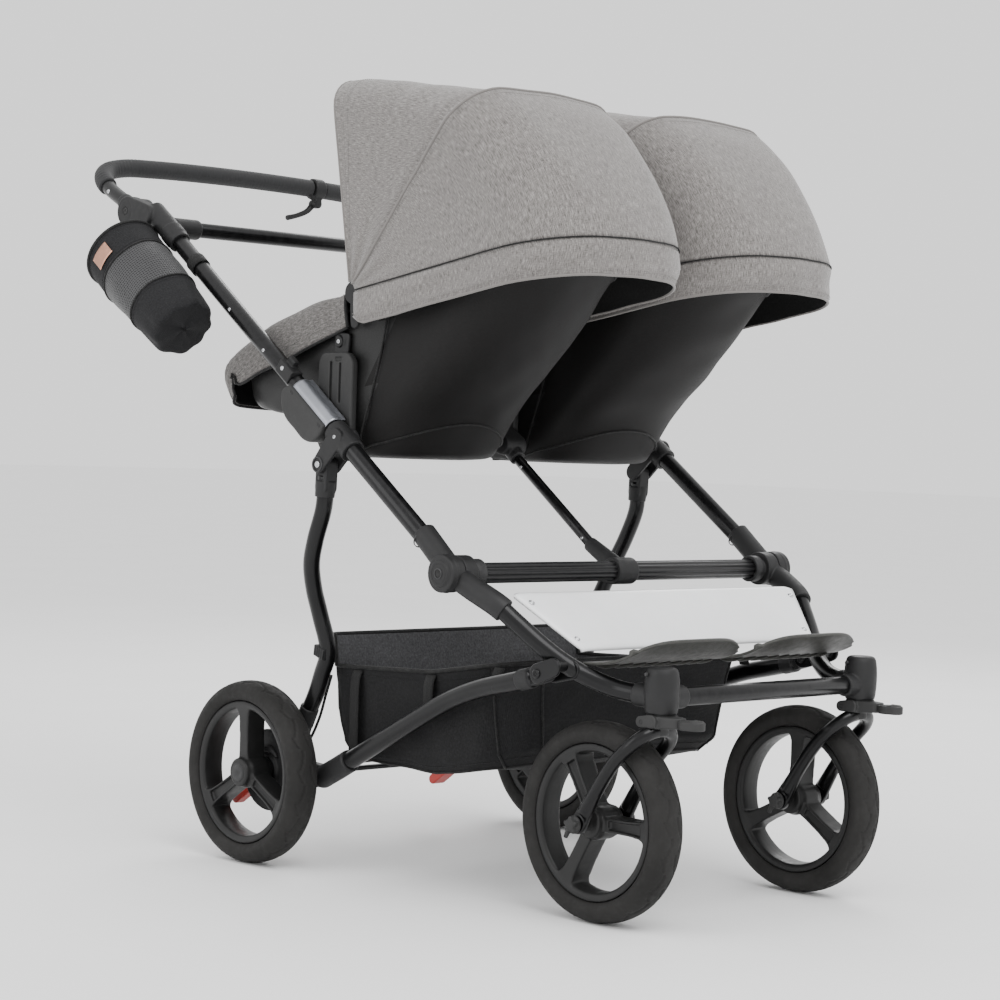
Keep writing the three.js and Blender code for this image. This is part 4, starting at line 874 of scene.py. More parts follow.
# ------------------------------------------------------------------ upper frame mouldings
for s, n in SIDES:
    X = s * FX
    body = "upper_frame"
    A = side(196, X)
    parts = [cyl(tuple(side(198, X)), tuple(side(266, X)), 16.3, 56), plate((262, line(262) - 4), 16, HANDLE, 22, s * 307, s * 328, 2.2), cylx(14.8, s * 296, s * 252, 232, line(232), 48), cyl(tuple(side(206, X)), tuple(side(222, X)), 17.4, 56)]
    fuse("handle_joint_" + n, parts, "plastic", body, 1.1, 5, "handle_base_" + n, "frame_plastic", cuts=[lathe([(15.6, -1.6), (17.0, -1.6), (17.0, 3), (15.6, 3)], 64, (s, 0, 0), (s * 328, *HANDLE), True), cylx(7.5, s * 326.2, s * 332, *HANDLE, 6, 0.1)])
    screw("handle_bolt_" + n, (s * 326.6, HANDLE[0], HANDLE[1]), (s, 0, 0), 5.0, body, 1.2, "plastic_mid")
    screw("handle_screw_" + n, (X + s * 15.9, 214, line(214)), (s, 0, 0.1), 3.4, body, 1.2)
    for i, yy in enumerate((150, 60, -20)):
        screw(f"tube_rivet_{n}_{i}", (X + s * 12.0, yy, line(yy) + 1), (s, 0, 0.05), 2.6, body, 1.1)
    # rear-leg clevis with its screw
    mid = (-184, line(-184))
    parts = [cyl(tuple(side(-167, X)), tuple(side(-205.5, X)), 16.9, 56), plate(mid, 15, CLEVIS, 12, s * 322.8, s * 317.1), plate(mid, 15, CLEVIS, 12, s * 294.9, s * 289.2)]
    fuse("clevis_m_" + n, parts, "plastic", body, 0.9, 4, "clevis_" + n, "frame_plastic")
    make("clevis_rim_" + n, lathe([(8.6, 0), (10.6, 0), (10.6, 1.4), (8.6, 1.4)], 40, (s, 0, 0), (s * 322.6, *CLEVIS), True), "plastic", body)
    screw("clevis_screw_" + n, (s * 323.0, *CLEVIS), (s, 0, 0), 4.6, body, 1.6)
    screw("clevis_side_screw_" + n, (X + s * 16.6, -185, line(-185) + 4), (s, 0, 0.2), 2.6, body, 1.0)
    # seat receiver: cast saddle, dark cap with ridges, hinge bar between them
    def at(y, v):
        return (y - math.sin(UP) * v, line(y) + math.cos(UP) * v)
    cap = [at(-87, 3), at(-80, -12), at(-90, -31), at(-104, -38.5), at(-124, -39), at(-144, -38.5), at(-157, -30), at(-163, -14), at(-163, 3)]
    capc = catmull([np.array(q) for q in cap], 60, False)
    xo, xi = s * 325.8, s * 292
    cuts = [sweep([(s * 326.2, *at(-97 - 11 * 0, -14 - 7.0 * i)), (s * 326.2, *at(-150 + i * 5, -14 - 7.0 * i))], 1.1, 10, 4) for i in range(1, 4)]
    cuts += [boxv(-340, -322, *sorted((at(-158, -3)[0], at(-158, -3)[0] + 1.4)), at(-158, -12)[1], at(-158, 2)[1])] if False else []
    fuse("receiver_cap_" + n, [extrude(capc, xo, xi, "yz", 3.0)], "plastic_mid", body, 1.0, 4, (), "frame_plastic", cuts=cuts)
    sad = [extrude([at(-90, 15.4), at(-90, 3.5), at(-163, 3.5), at(-163, 15.4)], s * 321, s * 292, "yz", 0.6)]
    G = []
    for yy in np.linspace(-163, -90, 30):
        row = []
        for a in np.linspace(-0.1, math.pi * 0.62, 22):
            r = 15.2
            row.append((X + s * (r * math.cos(a)), *at(yy, r * math.sin(a))))
        for k in np.linspace(0.1, 1, 8):
            q = row[21]
            row.append((q[0] - s * 8 * k * (1.0), q[1], q[2] + 1.0 * k))
        G.append(row if s > 0 else row)
    shell("receiver_saddle_" + n, np.array(G), 2.4, ("saddle", "saddle"), body, None, "seat_receiver_" + n, "saddle")
    hb = [cyl((X + s * 15.4, *at(-101, -2.5)), (X + s * 15.4, *at(-150, -2.5)), 3.9, 32)]
    for yy in (-96, -156):
        hb.append(cyl((X + s * 15.6, *at(yy - 3.5, -2.5)), (X + s * 15.6, *at(yy + 3.5, -2.5)), 4.8, 32))
    fuse("receiver_hinge_" + n, hb, "plastic", body, 0.7, 2)
    # small clip with a screw further up the tube
    fuse("tube_clip_" + n, [extrude([at(-52, 15.5), at(-52, -4), at(-79, -4), at(-79, 15.5)], s * 320.6, s * 300, "yz", 2.0), extrude([at(-56, 24), at(-56, 12), at(-68, 12), at(-68, 24)], s * 312, s * 302, "yz", 1.5)], "plastic", body, 0.9, 4)
    screw("tube_clip_screw_" + n, (s * 320.8, *at(-62, 8)), (s, 0, 0.05), 3.2, body, 1.4)
make("tube_cross", cylx(11, -261.6, 261.6, 232, line(232), 40), "tube", "upper_frame", "cross_tube", "frame_tube")

# centre rod with a clamp on the fluted bar and the middle seat receiver
top, foot = (0, -186, 588), (0, -392, 434)
parts = [cylx(18.3, -19, 19, *KNEE, 64, 1.5), cyl((0, -404, 435), (0, -352, 463), 12.8, 48, 10.2)]
fuse("rod_clamp", parts, "plastic", "upper_frame", 1.0, 5, "centre_rod", "frame_plastic")
make("rod_bar", cyl((0, -362, 456.6), top, 7.4, 36), "tube", "upper_frame", (), "frame_tube")
d = np.array(top) - np.array(foot)
d = d / np.linalg.norm(d)
for k, t in enumerate((42, 62, 88, 118, 150)):
    q = np.array(foot) + d * t * 1.45
    screw(f"rod_screw_{k}", tuple(q + np.array([-6.9, 0, 0])), (-1, 0, 0), 2.2, "upper_frame", 0.9, "steel" if k in (0, 4) else "tube")
    screw(f"rod_screw_b{k}", tuple(q + np.array([6.9, 0, 0])), (1, 0, 0), 2.2, "upper_frame", 0.9, "steel" if k in (0, 4) else "tube")
rec = [plate((-188, 594), 14, (-150, 616), 17, -19.2, 19.2, 2.0), cyl((0, -204, 576), (0, -178, 596), 11.5, 40)]
fuse("rod_receiver", rec, "plastic", "upper_frame", 1.0, 5)
for sg in (-1, 1):
    screw(f"receiver_bolt_{'a' if sg < 0 else 'b'}", (sg * 19.4, -168, 606), (sg, 0, 0), 4.2, "upper_frame", 1.4)

# ------------------------------------------------------------------ handlebar
bar = [(-306, 316, 924), (-304, 345, 938), (-299, 388, 957.5), (-290, 422, 976), (-268, 446, 991), (-232, 455, 1000.5), (-170, 457.5, 1004.5), (-60, 459, 1007), (60, 459, 1007), (170, 457.5, 1004.5), (232, 455, 1000.5), (268, 446, 991), (290, 422, 976), (299, 388, 957.5), (304, 345, 938), (306, 316, 924)]
curve = catmull(bar, 900)
hub = []
for s, n in SIDES:
    hub.append(cylx(20.4, s * 288, s * 305.4, *HANDLE, 56, 1.6))
    hub.append(sweep([(s * 306, 318, 925), (s * 304, 345, 938)], 13.2, 36, 3, radii=[14.5, 13.4, 12.4]))
fuse("handle_hubs", hub, "plastic", "handle", 1.1, 5)
make("tube_handle", sweep(curve[::4], 10.8, 40, raw=True), "tube", "handle", "handlebar", "frame_tube")
brk = [cylx(17.2, 141.5, 162.5, 458, 1005, 56, 1.4), cyl((152, 450, 981), (152, 459, 981), 7.5, 40), extrude([(449.8, 978), (459, 978), (462, 1000), (447, 1000)], 146.2, 157.8, "yz", 0.6), cyl((146, 452, 986), (134, 454, 996), 4.4, 28)]
fuse("lever_bracket", brk, "plastic", "handle", 0.9, 4)
lev = [cyl((152, 459.7, 981), (152, 468.8, 981), 6.9, 40), sweep([(150, 464.5, 979), (140, 464.5, 969), (120, 465, 960), (98, 465, 954)], 4.4, 24, 3, radii=[5.2, 4.4, 4.0, 4.4])]
fuse("lever_blade", lev, "plastic", "hand_brake", 0.8, 4, "brake_lever", "frame_plastic")
screw("lever_pivot", (152, 469.0, 981), (0, 1, 0), 3.2, "hand_brake", 0.0)


def grip(name, keep, rep):
    c = curve[keep]
    m = len(c)
    T = np.gradient(c, axis=0)
    T /= np.linalg.norm(T, axis=1)[:, None]
    K = np.linalg.norm(np.gradient(T, axis=0), axis=1) / np.maximum(np.linalg.norm(np.gradient(c, axis=0), axis=1), 1e-6)
    n = 56
    a = np.linspace(0, 2 * math.pi, n, endpoint=False)
    L = np.r_[0, np.cumsum(np.linalg.norm(np.diff(c, axis=0), axis=1))]
    n0 = np.cross(T[0], [0, 0, 1.0])
    n0 /= np.linalg.norm(n0)
    V, UVs = [], []
    for i in range(m):
        n0 = n0 - T[i] * np.dot(n0, T[i])
        n0 /= np.linalg.norm(n0)
        b0 = np.cross(T[i], n0)
        e = min(L[i], L[-1] - L[i])
        r = 14.0 - 1.6 * max(0, 1 - e / 2.2) ** 2
        inner = 0.25 + min(1.0, K[i] * 70) * 0.55
        wr = inner * (0.35 * np.sin(L[i] / 1.15 + 2.0 * np.sin(a * 2 + L[i] * 0.03)) * (0.5 + 0.5 * np.sin(a * 3 + L[i] * 0.11)))
        V.append(c[i] + ((r + wr)[:, None]) * (np.cos(a)[:, None] * n0 + np.sin(a)[:, None] * b0))
        UVs.append(np.stack([a * 14 / 1000, np.full(n, L[i] / 1000)], 1))
    F = grid_faces(m, n, True)
    V = np.concatenate(V)
    UVs = np.concatenate(UVs + [np.zeros((2, 2))])
    k = len(V)
    V = np.concatenate([V, [c[0]], [c[-1]]])
    for j in range(n):
        F.append((k, (j + 1) % n, j))
        F.append((k + 1, (m - 1) * n + j, (m - 1) * n + (j + 1) % n))
    return make(name, (V, F), "grip", "handle", rep, "grip", uv=UVs)


yk = (curve[:, 1] > 398) & (curve[:, 2] > 955) | ((curve[:, 1] > 404))
grip("foam_long", yk & (curve[:, 0] < 140.3), "grip")
grip("foam_short", yk & (curve[:, 0] > 163.8), "grip_short")
for s, n in SIDES:
    q = curve[np.argmin(np.abs(curve[:, 1] - 378) + (np.sign(curve[:, 0]) != s) * 1e3)]
    screw("bar_screw_" + n, tuple(q + np.array([s * 10.5, 0, 1])), (s, 0, 0.05), 3.2, "handle", 1.2)

# ------------------------------------------------------------------ rear link, brake, legs
for s, n in SIDES:
    b = "rear_link"
    lp = [(s * 255, -118, 136), (s * 255, -138.7, 146.5), (s * 255, -210.5, 184.9), (s * 255, -299.5, 232.2), (s * 255, -357, 260.4), (s * 256, -413.4, 280.3), (s * 257, -470, 294), (s * 257, -513.6, 304.5)]
    make("tube_low_" + n, sweep(lp, 12.3, 40, 4), "tube", b, "lower_tube_" + n, "frame_tube")
    fuse("low_eye_" + n, [plate((-506, 303.5), 11.6, LINK, 11.5, s * 264.3, s * 249.7, 1.0), cyl((s * 257, -490, 299), (s * 257, -512, 304.5), 13.6, 40)], "plastic", b, 1.0, 4)
    lb = [(s * 255, -100, 127), (s * 255, -119, 136.5), (s * 255, -138.7, 146.5), (s * 255, -160, 158)]
    parts = [sweep(lb, 15.8, 40, 3), plate((-106, 130), 15, (0, AXLE_Z), 24.3, s * 263.8, s * 246.2, 2), plate(FOOT, 12, (-40, 135), 14, s * 269.8, s * 265.0), plate(FOOT, 12, (-40, 135), 14, s * 245.0, s * 240.2),
             plate((-66, 133), 12, (-14, 130), 14, s * 269.8, s * 240.2, 1.5), plate((0, AXLE_Z), 16, BRAKE, 9, s * 246.5, s * 240.2), cylx(57.5, s * 264.2, s * 271, 0, AXLE_Z, 96, 1.8), cylx(22, s * 269, s * 274.8, 0, AXLE_Z, 64, 1.2)]
    cuts = [lathe([(50.2, 0.6), (51.6, 0.6), (51.6, 5), (50.2, 5)], 96, (s, 0, 0), (s * 269, 0, AXLE_Z), True)]
    for k in range(6):
        a = 2 * math.pi * k / 6
        cuts.append(cylx(3.2, s * 269.6, s * 274, 38 * math.cos(a), AXLE_Z + 38 * math.sin(a), 20, 0.2))
    fuse("axle_bracket_" + n, parts, "plastic", b, 1.3, 5, "rear_bracket_" + n, "frame_plastic", cuts=cuts)
    arc = [(s * 272.6, 30 * math.cos(t), AXLE_Z + 30 * math.sin(t)) for t in np.linspace(0.5, 2.4, 14)]
    make("drum_boss_" + n, sweep(arc, 5.0, 20, 3, radii=[2, 5, 5, 5, 2]), "plastic", b)
    make("tube_axle_" + n, cylx(6, s * 262, s * 316, 0, AXLE_Z, 36), "steel", b)
    screw("foot_pin_a_" + n, (s * 270, *FOOT), (s, 0, 0), 5.6, b, 2.0, "tube")
    screw("foot_pin_b_" + n, (s * 240, *FOOT), (-s, 0, 0), 5.6, b, 2.0, "tube")
    # rear leg
    leg = [(s * 306, -151.5, 545), (s * 306, -151, 536), (s * 306, -148, 502), (s * 304, -130, 458), (s * 298, -116, 425), (s * 286, -108, 390), (s * 270, -104, 352), (s * 258, -108, 303), (s * 255, -93.5, 270), (s * 255, -81, 240), (s * 255, -62, 207), (s * 255, -54, 190)]
    make("tube_leg_" + n, sweep(leg, 11.6, 40, 4), "tube", "rear_legs", "rear_leg_" + n, "frame_tube")
    fuse("leg_eyes_" + n, [plate(CLEVIS, 11.6, (-151, 530), 11.8, s * 316.4, s * 295.6, 1.0), cyl((s * 306, -151, 538), (s * 306, -149, 516), 14.2, 48, 13.4), plate((-56, 197), 11.5, FOOT, 12.5, s * 263.4, s * 246.6, 1.2), cyl((s * 255, -70, 222), (s * 255, -57, 196), 13.3, 48)], "plastic", "rear_legs", 1.0, 4, (), "frame_plastic")
    for i, (yy, zz, xx) in enumerate(((-117.5, 430, 299), (-103.8, 345, 267))):
        screw(f"leg_rivet_{n}_{i}", (s * (xx + 10.5), yy, zz), (s, 0, 0), 2.3, "rear_legs", 0.9)
    # ribbed strap buckle on the leg
    bk = [extrude([(-116, 306), (-94, 312), (-92, 297), (-113, 290)], s * 271.5, s * 262, "yz", 1.5)]
    for i in range(5):
        bk.append(cyl((s * 272, -113 + i * 4.3, 293 + i * 1.1), (s * 272, -115 + i * 4.3, 305 + i * 1.1), 1.1, 10))
    fuse("strap_buckle_" + n, bk, "plastic", "rear_legs", 0.8, 2)

bar = [cylx(4, -263, 263, *BRAKE, 28)]
make("brake_rod", bar[0], "tube", "foot_brake", (), "brake_red")
for nm, q, x0, x1 in (("near", (84, 76), -263, -247.5), ("far", (80, 77), 112, 136)):
    pd = [plate(BRAKE, 8, q, 7.5, x0, x1, 1.4)]
    for i in range(4):
        t = 0.62 + 0.1 * i
        cy, cz = BRAKE[0] + (q[0] - BRAKE[0]) * t, BRAKE[1] + (q[1] - BRAKE[1]) * t
        pd.append(cylx(1.2, x0 + 2, x1 - 2, cy + 4.6, cz + 6.0, 12, 0.2))
    fuse("brake_pedal_" + nm, pd, "red", "foot_brake", 0.8, 3, "brake_bar" if nm == "near" else (), "brake_red")
# brake cable from the right bracket up the leg, with a nut near its foot
cab = [(-243, -20, 150), (-241, -52, 172), (-239.5, -72, 206), (-240.5, -86, 240), (-241.5, -98, 268)]
make("cable_stub", sweep(cab, 2.0, 12, 3), "rubber", "rear_link")
make("cable_nut", cyl((-243, -26, 156), (-242.4, -33, 161), 3.4, 6, bev=0.4), "steel", "rear_link")

# ------------------------------------------------------------------ soft goods
HW = 144.0


def half_section(Wd, R, c, crown=6.0, foot=14.0, bow=0.0):
    pts = [[Wd, foot], [Wd + bow * 0.7, foot + (R - c - foot) * 0.33], [Wd + bow, foot + (R - c - foot) * 0.66], [Wd + bow * 0.4, R - c]]
    for i in range(1, 7):
        a = math.pi / 2 * i / 6
        pts.append([Wd - c * (1 - math.cos(a)), R - c + c * math.sin(a)])
    pts += [[(Wd - c) * 0.6, R + crown * 0.62], [(Wd - c) * 0.3, R + crown * 0.9], [0, R + crown]]
    return np.array(pts, float)


def section(Wd, R, c, nhalf, crown=6.0, bow=0.0):
    h = half_section(Wd, R, c, crown, 14.0, bow)
    h3 = catmull([np.array([x, r, 0.0]) for x, r in h], nhalf)
    left = h3 * [-1, 1, 1]
    return np.concatenate([left, h3[::-1][1:]])[:, :2]


TH = [-7.5, 4, 16, 28, 38.5, 40.6, 47, 55, 62, 69, 75, 80.4]
RT = [296, 289, 289.5, 306, 331, 343, 352, 363, 373.5, 384, 392.5, 400]
CT = [42, 46, 52, 58, 63, 66, 72, 80, 88, 96, 103, 110]
WT = [139.8, 139.8, 139.8, 139.8, 140.5, 144, 144, 144, 144, 144, 144, 144]


def hood(s, n):
    cx = s * 156.0
    ths = np.unique(np.concatenate([np.linspace(-7.5, 38.5, 44), np.linspace(38.5, 42.5, 10), np.linspace(42.5, 80.4, 40)]))
    nh = 46
    G, meta = [], []
    for th in ths:
        R, c, Wd = np.interp(th, TH, RT), np.interp(th, TH, CT), np.interp(th, TH, WT)
        t = math.radians(th - 2.8 * max(0.0, 1 - (th + 7.5) / 22.0) ** 1.5)
        sec = section(Wd, R, c, nh, 2.0 + 1.2 * np.clip((th - 38) / 5.0, 0, 1))
        row = np.stack([cx + sec[:, 0], HOOD[0] - math.sin(t) * sec[:, 1], HOOD[1] + math.cos(t) * sec[:, 1]], 1)
        G.append(row)
        meta.append((th, sec))
    G = np.array(G)
    m, k = G.shape[:2]
    du = np.gradient(G, axis=1)
    dv = np.gradient(G, axis=0)
    nn = np.cross(du, dv)
    nn /= np.maximum(np.linalg.norm(nn, axis=2), 1e-9)[..., None]
    mid = G[m // 2, k // 2]
    if np.dot(nn[m // 2, k // 2], mid - np.array([cx, HOOD[0] - 60, HOOD[1] + 60])) < 0:
        nn = -nn
        flip = True
    else:
        flip = False
    rr = np.stack([np.hypot(G[..., 1] - HOOD[0], G[..., 2] - HOOD[1])], 2)[..., 0]
    thg = ths[:, None] * np.ones((1, k))
    # the cloth hangs a little between its bows, and pulls into long folds near the pivots
    f1 = np.clip((thg + 7.5) / 48.0, 0, 1)
    f2 = np.clip((thg - 40.6) / 39.8, 0, 1)
    sag = -1.6 * np.sin(math.pi * f1) ** 1.4 * (thg < 40.6) + (-1.8 * np.sin(math.pi * f2) ** 1.2) * (thg >= 40.6)
    upness = np.clip((rr - 60) / 200, 0, 1)
    u = np.linspace(-1, 1, k)[None, :]
    low = np.clip((150 - rr) / 130, 0, 1)
    flat = G.reshape(-1, 3)
    wob = smoothnoise(flat, 150.0, 11 + (s > 0)).reshape(m, k) * 1.0 + smoothnoise(flat, 70.0, 13 + (s > 0)).reshape(m, k) * 0.45
    fold = 1.7 * low * np.sin(np.radians(thg) * 16 + 1.3 * np.sign(u)) * np.clip((rr - 14) / 40, 0, 1)
    edge = np.clip(np.minimum((thg + 7.5) / 6, (80.4 - thg) / 6), 0, 1)
    crease = -1.6 * np.exp(-((thg - 38.2) / 1.3) ** 2) + 0.8 * np.exp(-((thg - 41.5) / 1.2) ** 2)
    brim = 0.7 * np.exp(-((thg + 4.3) / 0.7) ** 2) * -1.0
    disp = sag * upness + (wob * upness + fold) * edge + crease * np.clip((rr - 30) / 60, 0, 1) + brim
    G = G + nn * disp[..., None]
    if flip:
        G2 = G[:, ::-1]
    else:
        G2 = G
    cover = shell("canopy_" + n, G2, 2.4, ("melange", "lining"), None, None, (), "melange")
    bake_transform(cover)
    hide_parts("hood_front_" + n, "hood_back_" + n)
    # band along the head end, gathered a little, with a turned hem
    last = G[-1]
    rows = []
    perim = np.r_[0, np.cumsum(np.linalg.norm(np.diff(last, axis=0), axis=1))]
    for dz in np.linspace(0, 47, 22):
        q = dz / 47
        kk = 1 + 0.006 * math.sin(math.pi * q) - 0.010 * q
        w = perim / perim[-1]
        wave = 1.5 * q * np.sin(perim / 19 + 1.6 * np.sin(perim / 61) + s) + 2.6 * math.sin(math.pi * min(1, q * 1.1)) * np.sin(perim / 43 + dz / 13 + 2 * s)
        wave = wave * np.clip(np.minimum(perim, perim[-1] - perim) / 60, 0, 1)
        dirv = last - np.array([cx, HOOD[0] - 150, 0])
        dirv[:, 2] = 0
        dirv /= np.maximum(np.linalg.norm(dirv, axis=1), 1e-6)[:, None]
        rowp = np.stack([cx + (last[:, 0] - cx) * kk, HOOD[0] + (last[:, 1] - HOOD[0]) * kk, last[:, 2] - dz], 1) + dirv * wave[:, None] + dirv * (-0.6 + 1.4 * (q > 0.05))
        rows.append(rowp)
    B = np.array(rows)
    # round off the two lower front corners
    for i in range(B.shape[0]):
        q = i / (B.shape[0] - 1)
        for e in (0, -1):
            pass
    perimn = np.minimum(perim, perim[-1] - perim)
    lift = 12 * np.clip(1 - perimn / 26, 0, 1) ** 2
    for i in range(B.shape[0]):
        B[i, :, 2] += lift * (i / (B.shape[0] - 1)) ** 2
    ext = []
    Bf = B if not flip else B[:, ::-1]
    shell("canopy_band_" + n, Bf, 2.2, ("melange", "lining"), "seat_" + n, None, (), "melange")
    # seams, and a dark line painted as the shadow beside the rib piping
    def row_at(th, off):
        i = int(np.argmin(np.abs(ths - th)))
        return G[i] + nn[i] * off
    make("canopy_rib_piping_" + n, sweep(row_at(40.9, 0.6), 1.9, 10, raw=True), "melange", "seat_" + n)
    # painted shadow: a thin black line just inside the cloth beside the rib piping
    make("canopy_rib_shadow_" + n, sweep(row_at(39.7, -0.2), 0.9, 8, raw=True), "piping", "seat_" + n)
    make("canopy_seam_" + n, sweep(G[-1] + nn[-1] * 0.6, 0.95, 8, raw=True), "piping", "seat_" + n)
    make("canopy_brim_" + n, sweep(G[0] + nn[0] * -1.0, 2.1, 10, raw=True), "melange", "hood_" + n)
    stitches("canopy_brim_stitch_" + n, row_at(-2.6, 0.25), "hood_" + n)
    stitches("canopy_brim_stitch2_" + n, row_at(-4.0, 0.15), "hood_" + n)
    stitches("canopy_rib_stitch_" + n, row_at(42.6, 0.25), "seat_" + n)
    make("canopy_hem_" + n, sweep(B[-1], 1.7, 10, raw=True), "melange", "seat_" + n)
    stitches("canopy_hem_stitch_" + n, B[-4] + (B[-4] - B[-4].mean(0)) * [0.006, 0.006, 0], "seat_" + n)
    stitches("canopy_seam_stitch_" + n, B[1] + (B[1] - B[1].mean(0)) * [0.006, 0.006, 0] - [0, 0, 1.5], "seat_" + n)
    # pivots: a boss each side and the two bows inside
    for sg in (-1, 1):
        q = "a" if sg < 0 else "b"
        x = cx + sg * 137.0
        fuse(f"canopy_boss_{n}_{q}", [cyl((x, *HOOD), (x - sg * 9, *HOOD), 15, 48, 13), plate(HOOD, 9, (HOOD[0] - 2, HOOD[1] - 40), 8, x - sg * 4, x - sg * 9, 1.0)], "plastic", "seat_" + n, 0.9, 4)
    for nm, th, bd in (("brim", -4.5, "hood_"), ("rib", 38.0, "seat_"), ("head", 76.0, "seat_")):
        R, c, Wd = np.interp(th, TH, RT) - 8, np.interp(th, TH, CT) - 4, np.interp(th, TH, WT) - 9
        sec = section(Wd, R, c, 40, 5.0)
        t = math.radians(th)
        pts = np.stack([cx + sec[:, 0], HOOD[0] - math.sin(t) * sec[:, 1], HOOD[1] + math.cos(t) * sec[:, 1]], 1)
        make(f"canopy_bow_{nm}_{n}", sweep(pts, 2.6, 12, raw=True), "plastic", bd + n)


for s, n in SIDES:
    hood(s, n)

# ---- seat shells: a deep tub of coated cloth
RINGS = np.array([[573, 112, -80, -180, -240], [618, 117, -52, -205, -272], [634, 117, 70, -216, -286], [646, 117, 90, -224, -300], [705, 117, 104, -268, -374], [760, 117, 104, -308, -430], [850, 117, 104, -384, -505]], float)


def rimz(y):
    return np.interp(y, [-640, -495, -176, 60, 130], [832, 830, 780, 716, 690])


def ring_at(z, cx, K=96):
    hw, yf, ys, ym = [np.interp(z, RINGS[:, 0], RINGS[:, k]) for k in (1, 2, 3, 4)]
    pts = []
    for i in range(13):
        pts.append((cx - hw, yf + (ys - yf) * i / 13.0))
    for i in range(37):
        a = math.pi * i / 36
        c, sn = math.cos(a), math.sin(a)
        pts.append((cx - hw * np.sign(c) * abs(c) ** 0.85, ys + (ym - ys) * sn ** 0.85))
    for i in range(1, 14):
        pts.append((cx + hw, ys + (yf - ys) * i / 13.0))
    # front wall, with rounded corners
    for i in range(1, 12):
        pts.append((cx + hw - 2 * hw * i / 12.0, yf))
    pts = np.array(pts)
    for _ in range(4):
        pts = 0.5 * pts + 0.25 * (np.roll(pts, 1, 0) + np.roll(pts, -1, 0))
    return pts


